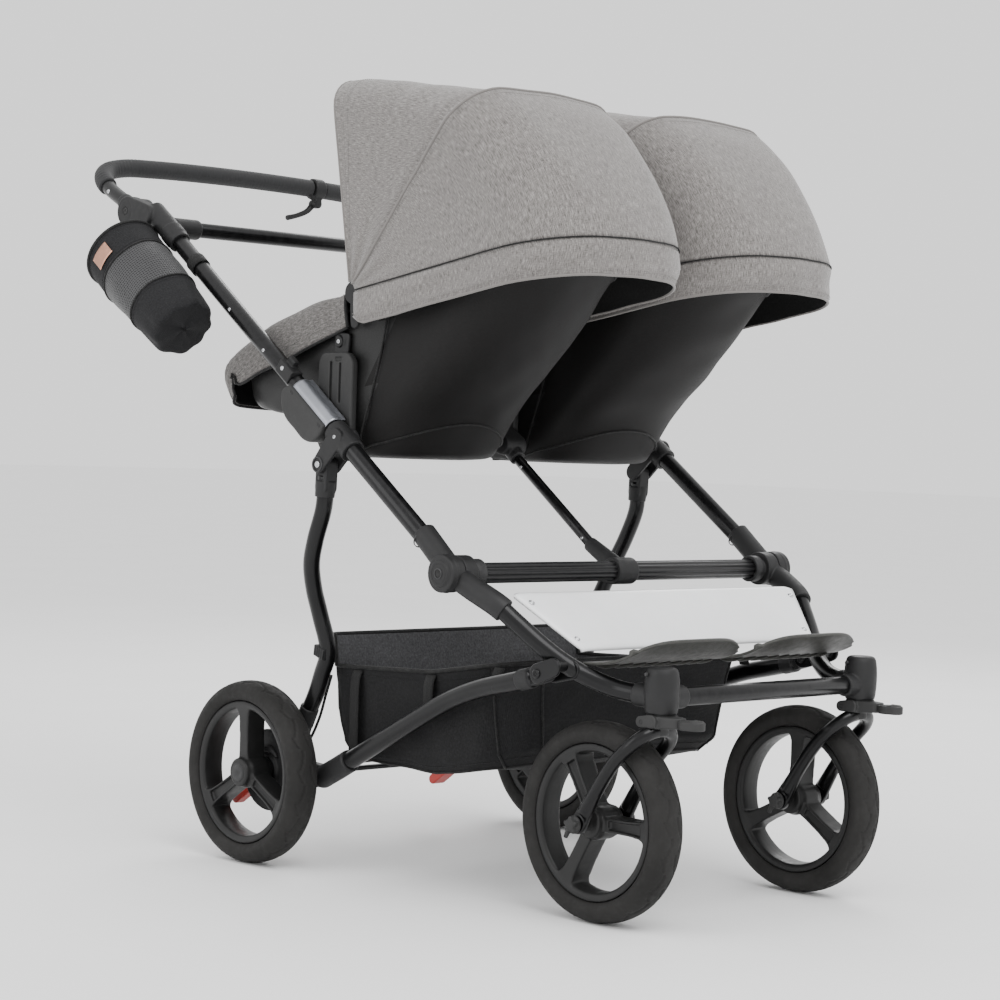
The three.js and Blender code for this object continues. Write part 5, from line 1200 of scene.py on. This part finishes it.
def seat(s, n):
    cx = s * 156.0
    zs = np.linspace(573, 852, 120)
    stack = np.array([np.c_[ring_at(z, cx), np.full(len(ring_at(z, cx)), z)] for z in zs])
    K = stack.shape[1]
    cols = []
    for j in range(K):
        p = stack[:, j]
        over = np.where(p[:, 2] > rimz(p[:, 1]) - 1.0)[0]
        e = over[0] if len(over) else len(p)
        wall = p[:max(e, 3)]
        c0 = np.array([cx, -150 if p[0, 1] > -190 else -172, 571.5])
        c0 = np.array([cx, (-80 - 240) / 2, 571.5])
        bottom = [c0 + (wall[0] - c0) * t + [0, 0, -1.5 * math.sin(math.pi * t)] for t in np.linspace(0.02, 0.94, 14)]
        path = even(np.concatenate([bottom, wall[1:]]), 74)
        cols.append(path)
    G = np.array(cols).transpose(1, 0, 2)
    for _ in range(3):
        G[1:-1] = 0.5 * G[1:-1] + 0.25 * (G[:-2] + G[2:])
    G[1:-1] = 0.6 * G[1:-1] + 0.2 * (np.roll(G, 1, 1) + np.roll(G, -1, 1))[1:-1]
    m, k = G.shape[:2]
    du = (np.roll(G, -1, 1) - np.roll(G, 1, 1)) / 2
    dv = np.gradient(G, axis=0)
    nn = np.cross(du, dv)
    nn /= np.maximum(np.linalg.norm(nn, axis=2), 1e-9)[..., None]
    cen = np.array([cx, -150, 700])
    if np.mean(np.sum(nn[m // 2:] * (G[m // 2:] - cen), axis=2)) < 0:
        nn = -nn
        flip = True
    else:
        flip = False
    flat = G.reshape(-1, 3)
    h = (G[..., 2] - 573) / 200
    wr = smoothnoise(flat * [1, 1, 0.55], 120.0, 31 + (s > 0)).reshape(m, k) * 1.6 + smoothnoise(flat * [1, 1, 0.4], 46.0, 35 + (s > 0)).reshape(m, k) * 0.7
    # loose folds on the side panels next to the posts
    sidep = np.clip((np.abs(G[..., 0] - cx) - 100) / 17, 0, 1) * np.clip((G[..., 1] + 250) / 60, 0, 1)
    fold = sidep * (2.2 * np.sin((G[..., 2] * 0.8 + G[..., 1] * 0.55) / 13.0) * np.clip(h * 2, 0, 1))
    ramp_ = np.clip(np.arange(m) / (m - 1) * 3.5 - 0.5, 0, 1)[:, None] * np.clip((m - 1 - np.arange(m)) / 6, 0, 1)[:, None]
    G = G + nn * ((wr - 0.8) * ramp_ + fold * ramp_ - 1.0 * ramp_)[..., None]
    Gf = G[:, ::-1] if flip else G
    o = shell("seat_tub_" + n, Gf, 3.0, ("shell", "lining"), "seat_" + n, None, "seat_shell_" + n, "shell_fabric", closed=True)
    o.data.materials.append(M["shell_sheen"])
    # side panels are of a coated cloth
    me = o.data
    for p in me.polygons:
        c = p.center
        y = c.y * 1000 - SH[1]
        z = c.z * 1000
        x = c.x * 1000 - SH[0] - cx
        if p.material_index == 0 and abs(x) > 96 and y > -176 - (z - 590) * 0.30 and z > 592:
            p.material_index = 2
    # base band, piped above, and a piped seam up each side
    i0 = int(np.argmin(np.abs(G[:, :, 2].mean(1) - 590)))
    loop = G[i0] + nn[i0] * 0.8
    make("tub_base_piping_" + n, sweep(np.concatenate([loop, loop[:1]]), 1.5, 10, raw=True, ends=False), "piping", "seat_" + n)
    for sg in (-1, 1):
        pts = []
        for zz in np.linspace(590, 782, 60):
            ring = ring_at(zz, cx)
            yy = -176 - (zz - 590) * 0.30 - 6 * math.sin((zz - 590) / 192 * math.pi)
            sel = ring[(ring[:, 0] - cx) * sg > 60]
            i = int(np.argmin(np.abs(sel[:, 1] - yy)))
            pts.append((sel[i, 0] + sg * 1.0, yy, zz))
        pts = np.array(pts)
        for _ in range(6):
            pts[1:-1] = 0.5 * pts[1:-1] + 0.25 * (pts[:-2] + pts[2:])
        make(f"tub_side_piping_{n}_{'a' if sg < 0 else 'b'}", sweep(pts, 1.6, 10, raw=True), "piping", "seat_" + n)
        stitches(f"tub_side_stitch_{n}_{'a' if sg < 0 else 'b'}", pts + [sg * 0.6, -5.5, 0], "seat_" + n, "thread_black")
    rimline = G[-1]
    make("tub_rim_binding_" + n, sweep(np.concatenate([rimline, rimline[:1]]), 3.0, 12, raw=True, ends=False), "piping", "seat_" + n)
    # seat post plates, the bar between them
    def rr(pts, r=6):
        P = [np.array([*p]) for p in pts]
        out = []
        for i in range(len(P)):
            a, b, c = P[i - 1], P[i], P[(i + 1) % len(P)]
            u, v = (a - b) / np.linalg.norm(a - b), (c - b) / np.linalg.norm(c - b)
            rad = min(r, np.linalg.norm(a - b) / 2.2, np.linalg.norm(c - b) / 2.2)
            for t in np.linspace(0, 1, 6):
                p0, p2 = b + u * rad, b + v * rad
                out.append((1 - t) ** 2 * p0 + 2 * t * (1 - t) * b + t * t * p2)
        return np.array(out)
    outer = rr([(-104, 700), (-112, 712), (-166, 712), (-176, 700), (-176, 596), (-164, 574), (-120, 574), (-104, 596)])
    inner = rr([(-112, 700), (-118, 708), (-160, 708), (-168, 700), (-168, 596), (-158, 574), (-122, 574), (-112, 596)])
    xo0, xo1 = s * 276.7, s * 288.0
    cuts = []
    for yy, z0_, z1_, w in ((-150, 644, 698, 2.2), (-131, 640, 700, 2.8)):
        cuts.append(extrude([(yy - w, z0_), (yy + w, z0_), (yy + w, z1_), (yy - w, z1_)], s * 283, s * 292))
    cuts.append(extrude([(-153, 700), (-139, 700), (-139, 706), (-153, 706)], s * 285, s * 292))
    parts = [extrude(outer, xo0, xo1, "yz", 2.2), extrude(rr([(-100, 640), (-104, 690), (-110, 706), (-98, 706), (-92, 690), (-92, 640)], 3), s * 276.7, s * 284, "yz", 1.2)]
    parts = [extrude(outer, xo0, xo1, "yz", 2.2)]
    fuse("seat_post_" + n, parts, "plastic_mid", "seat_" + n, 1.0, 3, "seat_frame_" + n, "frame_plastic", cuts=cuts)
    fuse("seat_post_inner_" + n, [extrude(inner, s * 22.7, s * 33.8, "yz", 2.2)], "plastic_mid", "seat_" + n, 1.1, 3)
    make("seat_bar_" + n, cylx(5, s * 278, s * 30, -140, 586, 32), "tube", "seat_" + n)
    # tongue behind the post and a small buckle above it, with a screw in the buckle
    fuse("seat_latch_" + n, [extrude(rr([(-126, 704), (-156, 704), (-160, 738), (-130, 742)], 5), s * 274.5, s * 281, "yz", 1.4), cyl((s * 281, -141, 727), (s * 284.5, -141, 727), 7.5, 32)], "gloss", "seat_" + n, 0.9, 4)
    screw("seat_latch_screw_" + n, (s * 284.4, -141, 727), (s, 0, 0), 3.0, "seat_" + n, 1.0)
    # the padded liner, a mattress on the floor of the tub and a back pad, is made further down
    return G


TUBS = {n: seat(s, n) for s, n in SIDES}

# ---- leg covers (aprons)
ST = [[-150, 797, 52], [-66, 781, 62], [-2, 762, 66], [56, 737, 58], [100, 714, 54], [122, 694, 42], [125, 672, 34], [112, 650, 26], [96, 637, 18]]


def apron(s, n):
    cx = s * 156.0
    st = catmull([np.array(q, float) for q in ST], 60)
    tg = np.gradient(st[:, :2], axis=0)
    tg /= np.linalg.norm(tg, axis=1)[:, None]
    G = []
    for i, (y, z, d) in enumerate(st):
        nyy, nzz = tg[i][1], -tg[i][0]
        hw = 128.0
        prof = [np.array([hw, d, 0.0]), np.array([hw + 0.8, d * 0.6 + 4, 0.0]), np.array([hw, 14.0 + 0.1 * d, 0.0]), np.array([hw - 3.2, 6, 0.0]), np.array([hw - 12, 1.5, 0.0]), np.array([hw * 0.75, -1.0, 0.0]), np.array([hw * 0.4, -3, 0.0]), np.array([0, -4, 0.0])]
        h = catmull(prof, 34)
        sec = np.concatenate([h, (h * [-1, 1, 1])[::-1][1:]])[::-1]
        G.append(np.stack([cx + sec[:, 0], y + nyy * sec[:, 1], z + nzz * sec[:, 1]], 1))
    G = np.array(G)
    m, k = G.shape[:2]
    du, dv = np.gradient(G, axis=1), np.gradient(G, axis=0)
    nn = np.cross(du, dv)
    nn /= np.maximum(np.linalg.norm(nn, axis=2), 1e-9)[..., None]
    if nn[m // 3, k // 2][2] < 0:
        nn = -nn
        flip = True
    else:
        flip = False
    flat = G.reshape(-1, 3)
    q = np.linspace(-1, 1, k)[None, :]
    v = np.linspace(0, 1, m)[:, None]
    wr = smoothnoise(flat, 110.0, 51 + (s > 0)).reshape(m, k) * 1.5 + smoothnoise(flat, 48.0, 57 + (s > 0)).reshape(m, k) * 0.8
    pull = -2.2 * np.exp(-((np.abs(q) - 0.42) / 0.10) ** 2) * np.sin(math.pi * v) ** 0.5
    e = np.clip(np.minimum(v, 1 - v) * 14, 0, 1)
    G = G + nn * ((wr - 1.2) * e + pull * 0.6)[..., None]
    Gf = G[:, ::-1] if flip else G
    shell("apron_" + n, Gf, 3.0, ("melange_dark", "lining"), "seat_" + n, None, "leg_cover_" + n, "melange")
    for e, nm in ((0, "a"), (-1, "b")):
        make(f"apron_edge_{n}_{nm}", sweep(G[:, e] , 2.0, 10, raw=True), "piping", "seat_" + n)
        stitches(f"apron_stitch_{n}_{nm}", G[:, 3 if e == 0 else -4] + nn[:, 3 if e == 0 else -4] * 0.35, "seat_" + n)
    # zip just below the top edge, its teeth, tape and puller on the outer side
    col = 17 if s < 0 else k - 18
    for tag, col in (("r", int(k * 0.235)), ("l", int(k * 0.765))):
        zp = G[3:-3, col] + nn[3:-3, col] * 0.5
        make(f"apron_zip_{n}_{tag}", sweep(zp, 1.7, 10, raw=True), "piping", "seat_" + n)
        stitches(f"apron_zip_teeth_{n}_{tag}", zp + nn[3:-3, col] * 1.2, "seat_" + n, "rubber", 1.9, 1.1, 0.8)
    out = int(k * 0.235) if np.mean(G[:, int(k * 0.235), 0]) * s > np.mean(G[:, int(k * 0.765), 0]) * s else int(k * 0.765)
    i = int(m * 0.70)
    p, q2, nv = G[i, out], G[i + 3, out], nn[i, out]
    dirz = (q2 - p) / np.linalg.norm(q2 - p)
    fuse("apron_puller_" + n, [sweep([p + nv * 3, p + nv * 3.6 + dirz * 7], 2.7, 16, 2), sweep([p + nv * 3.6 + dirz * 6, p + nv * 4.2 + dirz * 26], 1.7, 14, 2, radii=[1.2, 1.6, 2.0])], "steel", "seat_" + n, 0.5, 2)
    top = G[0]
    make("apron_top_binding_" + n, sweep(top, 2.6, 10, raw=True), "piping", "seat_" + n)
    make("apron_low_binding_" + n, sweep(G[-1], 2.2, 10, raw=True), "piping", "seat_" + n)
    stitches("apron_top_stitch_" + n, G[2] + nn[2] * 0.4, "seat_" + n)


for s, n in SIDES:
    apron(s, n)


# ---- padded liners, by cloth simulation
def pad(name, V, F, body, cap, mat="pad", voxel=6.0):
    o = make(name, (V, F), mat, None)
    r = o.modifiers.new("v", "REMESH")
    r.mode = "VOXEL"
    r.voxel_size = voxel / 1000
    bake(o)
    base = np.array([v.co for v in o.data.vertices])
    c = o.modifiers.new("c", "CLOTH")
    c.settings.use_pressure = True
    c.settings.uniform_pressure_force = 4.0
    c.settings.effector_weights.gravity = 0
    c.settings.quality = 4
    c.settings.mass = 0.3
    c.point_cache.frame_start = 1
    c.point_cache.frame_end = 20
    sc = bpy.context.scene
    for f in range(1, 21):
        sc.frame_set(f)
    dg = bpy.context.evaluated_depsgraph_get()
    ev = o.evaluated_get(dg)
    new = np.array([v.co for v in ev.data.vertices])
    o.modifiers.clear()
    sc.frame_set(1)
    if len(new) == len(base):
        d = new - base
        L = np.linalg.norm(d, axis=1)
        d = d * np.minimum(1, cap / 1000 / np.maximum(L, 1e-9))[:, None]
        d = np.nan_to_num(d)
        o.data.vertices.foreach_set("co", (base + d).ravel())
    sm = o.modifiers.new("s", "SMOOTH")
    sm.iterations = 3
    ss = o.modifiers.new("ss", "SUBSURF")
    ss.levels = 1
    ss.render_levels = 1
    bake(o)
    if not o.data.materials:
        o.data.materials.append(M[mat])
    o.data.shade_smooth()
    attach(o, body)
    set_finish(o, "melange")
    return o


for s, n in SIDES:
    cx = s * 156.0
    P = np.array([(q[0], q[1]) for q in ring_at(668, cx)])
    c0 = P.mean(0)
    P = c0 + (P - c0) * [0.86, 0.86]
    P = P[::2]
    V = np.concatenate([np.c_[P, np.full(len(P), 655.0)], np.c_[P, np.full(len(P), 676.0)]])
    kk = len(P)
    F = grid_faces(2, kk, True) + [tuple(range(kk))[::-1], tuple(range(kk, 2 * kk))]
    pad("seat_mattress_" + n, V, F, "seat_" + n, 7)
    # back pad on the sloping head wall
    rows = []
    for z in np.linspace(700, 800, 8):
        ym = np.interp(z, RINGS[:, 0], RINGS[:, 4])
        rows.append((ym, z))
    a0, a1 = np.array([-330 + 0, 712.0]), np.array([-448.0, 806.0])
    dd = (a1 - a0) / np.linalg.norm(a1 - a0)
    nv = np.array([-dd[1], dd[0]]) * -1
    hw = 76
    quad = []
    for off in (6, 24):
        for (t, w) in ((0, 0.86), (0.08, 1), (0.7, 1), (1, 0.72)):
            q = a0 + (a1 - a0) * t + nv * off
            quad.append([(cx - hw * w, *q), (cx + hw * w, *q)])
    ringA = [quad[i][0] for i in range(4)] + [quad[i][1] for i in (3, 2, 1, 0)]
    ringB = [quad[4 + i][0] for i in range(4)] + [quad[4 + i][1] for i in (3, 2, 1, 0)]
    V = np.array(ringA + ringB, float)
    F = grid_faces(2, 8, True) + [tuple(range(8))[::-1], tuple(range(8, 16))]
    pad("seat_backpad_" + n, V, F, "seat_" + n, 7)


# ---- basket: sewn tub with a soft sag
def basket():
    def sidez(k=0.0):
        return [(-84 - k, 332), (-96 - k, 270), (-112 - k * 1.2, 182 + k), (-140 - k * 0.4, 156 + k), (-300, 154 + k), (-408 + k * 0.4, 172 + k), (-438 + k, 196 + k), (-462 + k, 322)]
    # rings around the tub, from the middle of its floor up to its rim
    def outline(t, k=0.0):
        """t 0..1 from floor edge to rim: plan rectangle with cut front corners"""
        zb = {0: 156}
        yr = np.interp(t, [0, 0.12, 0.5, 1], [-132, -112, -98, -85])
        yf = np.interp(t, [0, 0.12, 0.5, 1], [-412, -437, -449, -462])
        hw = np.interp(t, [0, 0.08, 0.3, 1], [224, 232, 235, 236])
        cut = np.interp(t, [0, 1], [0.9, 1.0])
        P = [(-hw, yr), (-hw, (yr + yf) / 2), (-hw, yf + 54 * cut), (-hw + 52, yf), (0, yf), (hw - 52, yf), (hw, yf + 54 * cut), (hw, (yr + yf) / 2), (hw, yr), (0, yr)]
        out = []
        for i in range(len(P)):
            a, b = np.array(P[i], float), np.array(P[(i + 1) % len(P)], float)
            m = max(2, int(np.linalg.norm(b - a) / 12))
            for j in range(m):
                out.append(a + (b - a) * j / m)
        return out
    nref = len(outline(0))
    def even_loop(P, K=180):
        P = np.array(P + [P[0]])
        return even(P, K + 1)[:-1]
    def rim_height(x, y):
        # tall at the back, low at the front sides, gently hung between
        base = np.interp(y, [-470, -440, -300, -150, -102, -84], [318, 314, 291, 284, 282, 322])
        base = np.where(y > -100, 324, base)
        return base
    rows = []
    K = 190
    for t in np.linspace(0, 1, 34):
        L = even_loop(outline(t), K)
        for _ in range(3):
            L = 0.5 * L + 0.25 * (np.roll(L, 1, 0) + np.roll(L, -1, 0))
        zr = rim_height(L[:, 0], L[:, 1])
        zb = np.interp(L[:, 1], [-440, -400, -300, -140, -100], [184, 171, 155, 157, 168])
        z = zb + (zr - zb) * t
        rows.append(np.c_[L, z])
    W0 = np.array(rows)
    floor = []
    c0 = np.array([0, -275.0, 157.0])
    for t in np.linspace(0.03, 0.96, 16):
        ring = c0 + (W0[0] - c0) * t
        ring[:, 2] = 155.5 + (W0[0][:, 2] - 155.5) * t ** 3 + 1.5 * np.sin(ring[:, 0] / 37) * np.sin(ring[:, 1] / 31)
        floor.append(ring)
    G = np.concatenate([np.array(floor), W0])
    m, k = G.shape[:2]
    du = (np.roll(G, -1, 1) - np.roll(G, 1, 1)) / 2
    dv = np.gradient(G, axis=0)
    nn = np.cross(du, dv)
    nn /= np.maximum(np.linalg.norm(nn, axis=2), 1e-9)[..., None]
    cen = np.array([0, -275, 240])
    flip = np.mean(np.sum(nn[18:] * (G[18:] - cen), axis=2)) < 0
    if flip:
        nn = -nn
    flat = G.reshape(-1, 3)
    wr = smoothnoise(flat * [1, 1, 0.7], 130.0, 71).reshape(m, k) * 3.0 + smoothnoise(flat * [1, 1, 1], 60.0, 73).reshape(m, k) * 1.3
    r = np.clip((np.arange(m) - 10) / 12, 0, 1)[:, None] * np.clip((m - 1 - np.arange(m)) / 8, 0, 1)[:, None]
    G = G + nn * ((wr - 3.4) * r)[..., None]
    Gf = G[:, ::-1] if flip else G
    shell("basket_cloth", Gf, 2.2, ("bag", "lining_grey"), "rear_link", None, "basket", "bag_fabric", closed=True)
    rimc = G[-1]
    make("basket_rim_binding", sweep(np.concatenate([rimc, rimc[:1]]), 3.2, 12, raw=True, ends=False), "piping", "rear_link")
    stitches("basket_rim_stitch", np.concatenate([G[-4], G[-4][:1]]) + np.concatenate([nn[-4], nn[-4][:1]]) * 0.5, "rear_link", "thread_black", 4.2, 2.8, 0.5)
    stitches("basket_floor_stitch", np.concatenate([G[18], G[18][:1]]) + np.concatenate([nn[18], nn[18][:1]]) * 0.5, "rear_link", "thread_black", 4.2, 2.8, 0.5)
    lo = G[16]
    make("basket_floor_piping", sweep(np.concatenate([lo, lo[:1]]), 1.9, 10, raw=True, ends=False), "piping", "rear_link")
    for x0, y0 in ((-236, -408), (236, -408), (-184, -462), (184, -462), (-236, -85), (236, -85)):
        j = int(np.argmin(np.hypot(G[-1][:, 0] - x0, G[-1][:, 1] - y0)))
        make(f"basket_corner_piping_{j}", sweep(G[16:, j] + nn[16:, j] * 0.8, 1.7, 10, raw=True), "piping", "rear_link")
    # hanging straps from the rim to the frame tubes
    for s, n in SIDES:
        for y, z0, z1 in ((-150, 284, 200), (-300, 291, 240), (-430, 312, 292)):
            x = s * 238.5
            w = 9.0
            z_t = np.interp(y, [-513.6, -470, -413.4, -357, -299.5, -210.5, -138.7], [304.5, 294, 280.3, 260.4, 232.2, 184.9, 146.5])
            pts = [(x - s * 2, y, z0 - 4), (x + s * 2.2, y, z0 - 14), (s * 241.8, y, z_t + 14 if z_t + 14 < z0 - 16 else z0 - 18)]
            c = catmull(pts, 12)
            G2 = np.array([[(q[0], q[1] - w, q[2]), (q[0], q[1] - w * 0.4, q[2]), (q[0], q[1] + w * 0.4, q[2]), (q[0], q[1] + w, q[2])] for q in c])
            shell(f"basket_strap_{n}_{-y}", G2 if s > 0 else G2[:, ::-1], 1.4, ("webbing", "webbing"), "rear_link")
    return G


basket()
# wire loops under the basket
for i, (x, y) in enumerate(((-60, -150), (-20, -170), (90, -150))):
    pts = [(x - 16, y, 156), (x - 14, y + 6, 143), (x, y + 8, 136), (x + 14, y + 6, 143), (x + 16, y, 156)]
    make(f"basket_wire_{i}", sweep(pts, 1.3, 10, 3), "tube", "rear_link")
make("basket_rail", sweep([(-243, -118, 148), (-150, -126, 151), (0, -128, 151), (150, -126, 151), (243, -118, 148)], 3.0, 14, 6), "tube", "rear_link")


# ---- cup pouch
def pouch():
    d = np.array([0, math.cos(UP), math.sin(UP)])
    o0 = np.array([-351.0, 120.0, 742.0])
    e1 = np.array([-1.0, 0, 0])
    e2 = np.cross(d, e1)
    hs = np.r_[np.linspace(0, 6, 6), np.linspace(9, 191.5, 66)]
    rows, kk = [], 150
    a = np.linspace(0, 2 * math.pi, kk, endpoint=False)
    for t in np.linspace(0.03, 0.93, 12):
        rows.append((0.6 * (1 - t), t * 43.5))
    for h in hs[1:]:
        rows.append((h, np.interp(h, [0, 3, 8, 30, 70, 110, 150, 192], [42, 45.0, 47.2, 50, 53, 55.6, 56.4, 56.8])))
    G = []
    for h, r in rows:
        q = np.clip(h / 60, 0, 1)
        gather = 1.6 * np.sin(a * 9 + 0.7 * np.sin(a * 2)) * np.exp(-((h - 2) / 26) ** 2) * min(1, r / 30)
        soft = 1.2 * np.sin(a * 3 + h / 35) * np.sin(math.pi * np.clip(h / 192, 0, 1)) + 0.9 * np.sin(a * 5 - h / 22 + 1.1) * np.sin(math.pi * np.clip(h / 192, 0, 1)) ** 2
        rad = r - 0.9 + gather + soft
        hh = h + 1.2 * np.sin(a * 4 + 0.5) * (1 - q)
        G.append(o0 + d * hh[:, None] + rad[:, None] * (np.cos(a)[:, None] * e1 + np.sin(a)[:, None] * e2))
    G = np.array(G)
    m = len(G)
    du = (np.roll(G, -1, 1) - np.roll(G, 1, 1)) / 2
    dv = np.gradient(G, axis=0)
    nn = np.cross(du, dv)
    nn /= np.maximum(np.linalg.norm(nn, axis=2), 1e-9)[..., None]
    flip = np.mean(np.sum(nn[20:] * (G[20:] - (o0 + d * 90)), axis=2)) < 0
    if flip:
        nn = -nn
    Gf = G[:, ::-1] if flip else G
    o = shell("pouch_cloth", Gf, 2.2, ("bag_uv", "lining"), "upper_frame", None, "pouch", "bag_fabric", closed=True)
    o.data.materials.append(M["net"])
    for p in o.data.polygons:
        c = np.array([p.center.x * 1000 - SH[0], p.center.y * 1000 - SH[1], p.center.z * 1000]) - o0
        h = float(c @ d)
        if p.material_index == 0 and 62 < h < 142:
            p.material_index = 2
    def hrow(h, off):
        i = int(np.argmin([abs(r[0] - h) if r[0] > 1 else 1e9 for r in rows]))
        q = G[i] + nn[i] * off
        return np.concatenate([q, q[:1]])
    make("pouch_rim", sweep(hrow(191, 0.2), 2.6, 12, raw=True, ends=False), "piping", "upper_frame")
    make("pouch_seam_top", sweep(hrow(142, 0.5), 1.5, 10, raw=True, ends=False), "piping", "upper_frame")
    make("pouch_seam_low", sweep(hrow(62, 0.5), 1.5, 10, raw=True, ends=False), "piping", "upper_frame")
    for nm, h in (("a", 186), ("b", 146), ("c", 58)):
        stitches("pouch_stitch_" + nm, hrow(h, 0.35), "upper_frame", "thread_black", 3.8, 2.4, 0.45)
    # blank metal badge on the band, facing outwards and forwards
    lab = []
    for h in np.linspace(152, 176, 10):
        row = []
        for aa in np.linspace(-0.12, 0.46, 18):
            r = np.interp(h, [0, 192], [56, 57.4]) + 1.2
            row.append(o0 + d * h + r * (math.cos(aa) * e1 + math.sin(aa) * e2))
        lab.append(row)
    lab = np.array(lab)
    shell("pouch_badge", lab if np.cross(lab[0, 1] - lab[0, 0], lab[1, 0] - lab[0, 0]) @ e1 > 0 else lab[:, ::-1], 1.2, ("copper", "copper"), "upper_frame")
    # two webbing loops that hold the pouch to the side tube
    for i, h in enumerate((40, 165)):
        c = o0 + d * h
        tc = side(c[1], -306.0)
        th = np.linspace(-0.35, math.pi * 2 - 1.0, 40)
        pts = [np.array([-306, 0, 0]) * [1, 0, 0] + np.array([0, tc[1], tc[2]]) + 14.4 * (math.cos(t) * np.array([1.0, 0, 0]) + math.sin(t) * np.array([0, -math.sin(UP), math.cos(UP)])) for t in np.linspace(0, 2 * math.pi, 44)]
        G2 = np.array([[p - d * 9, p - d * 3, p + d * 3, p + d * 9] for p in pts])
        shell(f"pouch_loop_{i}", G2, 1.6, ("webbing", "webbing"), "upper_frame")


pouch()

# ------------------------------------------------------------------ stage, light and camera
def stage_obj(name, V, F, mat):
    me = bpy.data.meshes.new(name)
    me.from_pydata(V, [], F)
    me.materials.append(mat)
    o = bpy.data.objects.new(name, me)
    bpy.context.scene.collection.objects.link(o)
    return o


fm, fnt, fb = nodes_of("floor_pale")
fv = coords(fnt, False, (1, 1, 1))
fc = ramp(fnt, noise(fnt, fv, 3.0, 3.0), [(0.3, (0.93, 0.93, 0.93)), (0.7, (0.95, 0.95, 0.95))])
fnt.links.new(fc, fb.inputs["Base Color"])
fb.inputs["Roughness"].default_value = 0.95
fb.inputs["Specular IOR Level"].default_value = 0.1
S = 30.0
stage_obj("floor", [(-S, -S, 0), (S, -S, 0), (S, S, 0), (-S, S, 0)], [(0, 1, 2, 3)], fm)

world = bpy.data.worlds.new("studio")
bpy.context.scene.world = world
world.use_nodes = True
bg = world.node_tree.nodes["Background"]
bg.inputs["Color"].default_value = (1, 1, 1, 1)
bg.inputs["Strength"].default_value = 1.35


def area(name, loc, at, size, power, col=(1, 1, 1)):
    l = bpy.data.lights.new(name, "AREA")
    l.shape = "RECTANGLE"
    l.size, l.size_y = size
    l.energy = power
    l.color = col
    o = bpy.data.objects.new(name, l)
    bpy.context.scene.collection.objects.link(o)
    o.location = loc
    o.rotation_euler = (Vector(at) - Vector(loc)).to_track_quat("-Z", "Y").to_euler()
    return o


area("key", (-0.6, -2.6, 3.4), (0, 0, 0.7), (2.6, 2.2), 105)
area("fill", (-3.4, 0.6, 1.7), (0, 0, 0.6), (1.6, 2.4), 30)
area("rim", (2.6, 1.6, 2.6), (0, 0, 0.7), (1.6, 1.6), 40)

cam = bpy.data.cameras.new("camera")
co = bpy.data.objects.new("camera", cam)
bpy.context.scene.collection.objects.link(co)
cam.sensor_width = 36.0
cam.lens = 2433.68 * 36.0 / 1000.0
cam.clip_end = 100
aa, ee, ro = math.radians(-43.463), math.radians(1.35), math.radians(1.958)
back = np.array([math.sin(aa) * math.cos(ee), -math.cos(aa) * math.cos(ee), math.sin(ee)])
right = np.array([math.cos(aa), math.sin(aa), 0.0])
upv = np.cross(back, right)
c_, s_ = math.cos(ro), math.sin(ro)
X, Y, Z = c_ * right + s_ * upv, -s_ * right + c_ * upv, back
mw = Matrix(((X[0], Y[0], Z[0], -2.35194), (X[1], Y[1], Z[1], -2.55663), (X[2], Y[2], Z[2], 0.59754), (0, 0, 0, 1)))
co.matrix_world = mw
bpy.context.scene.camera = co
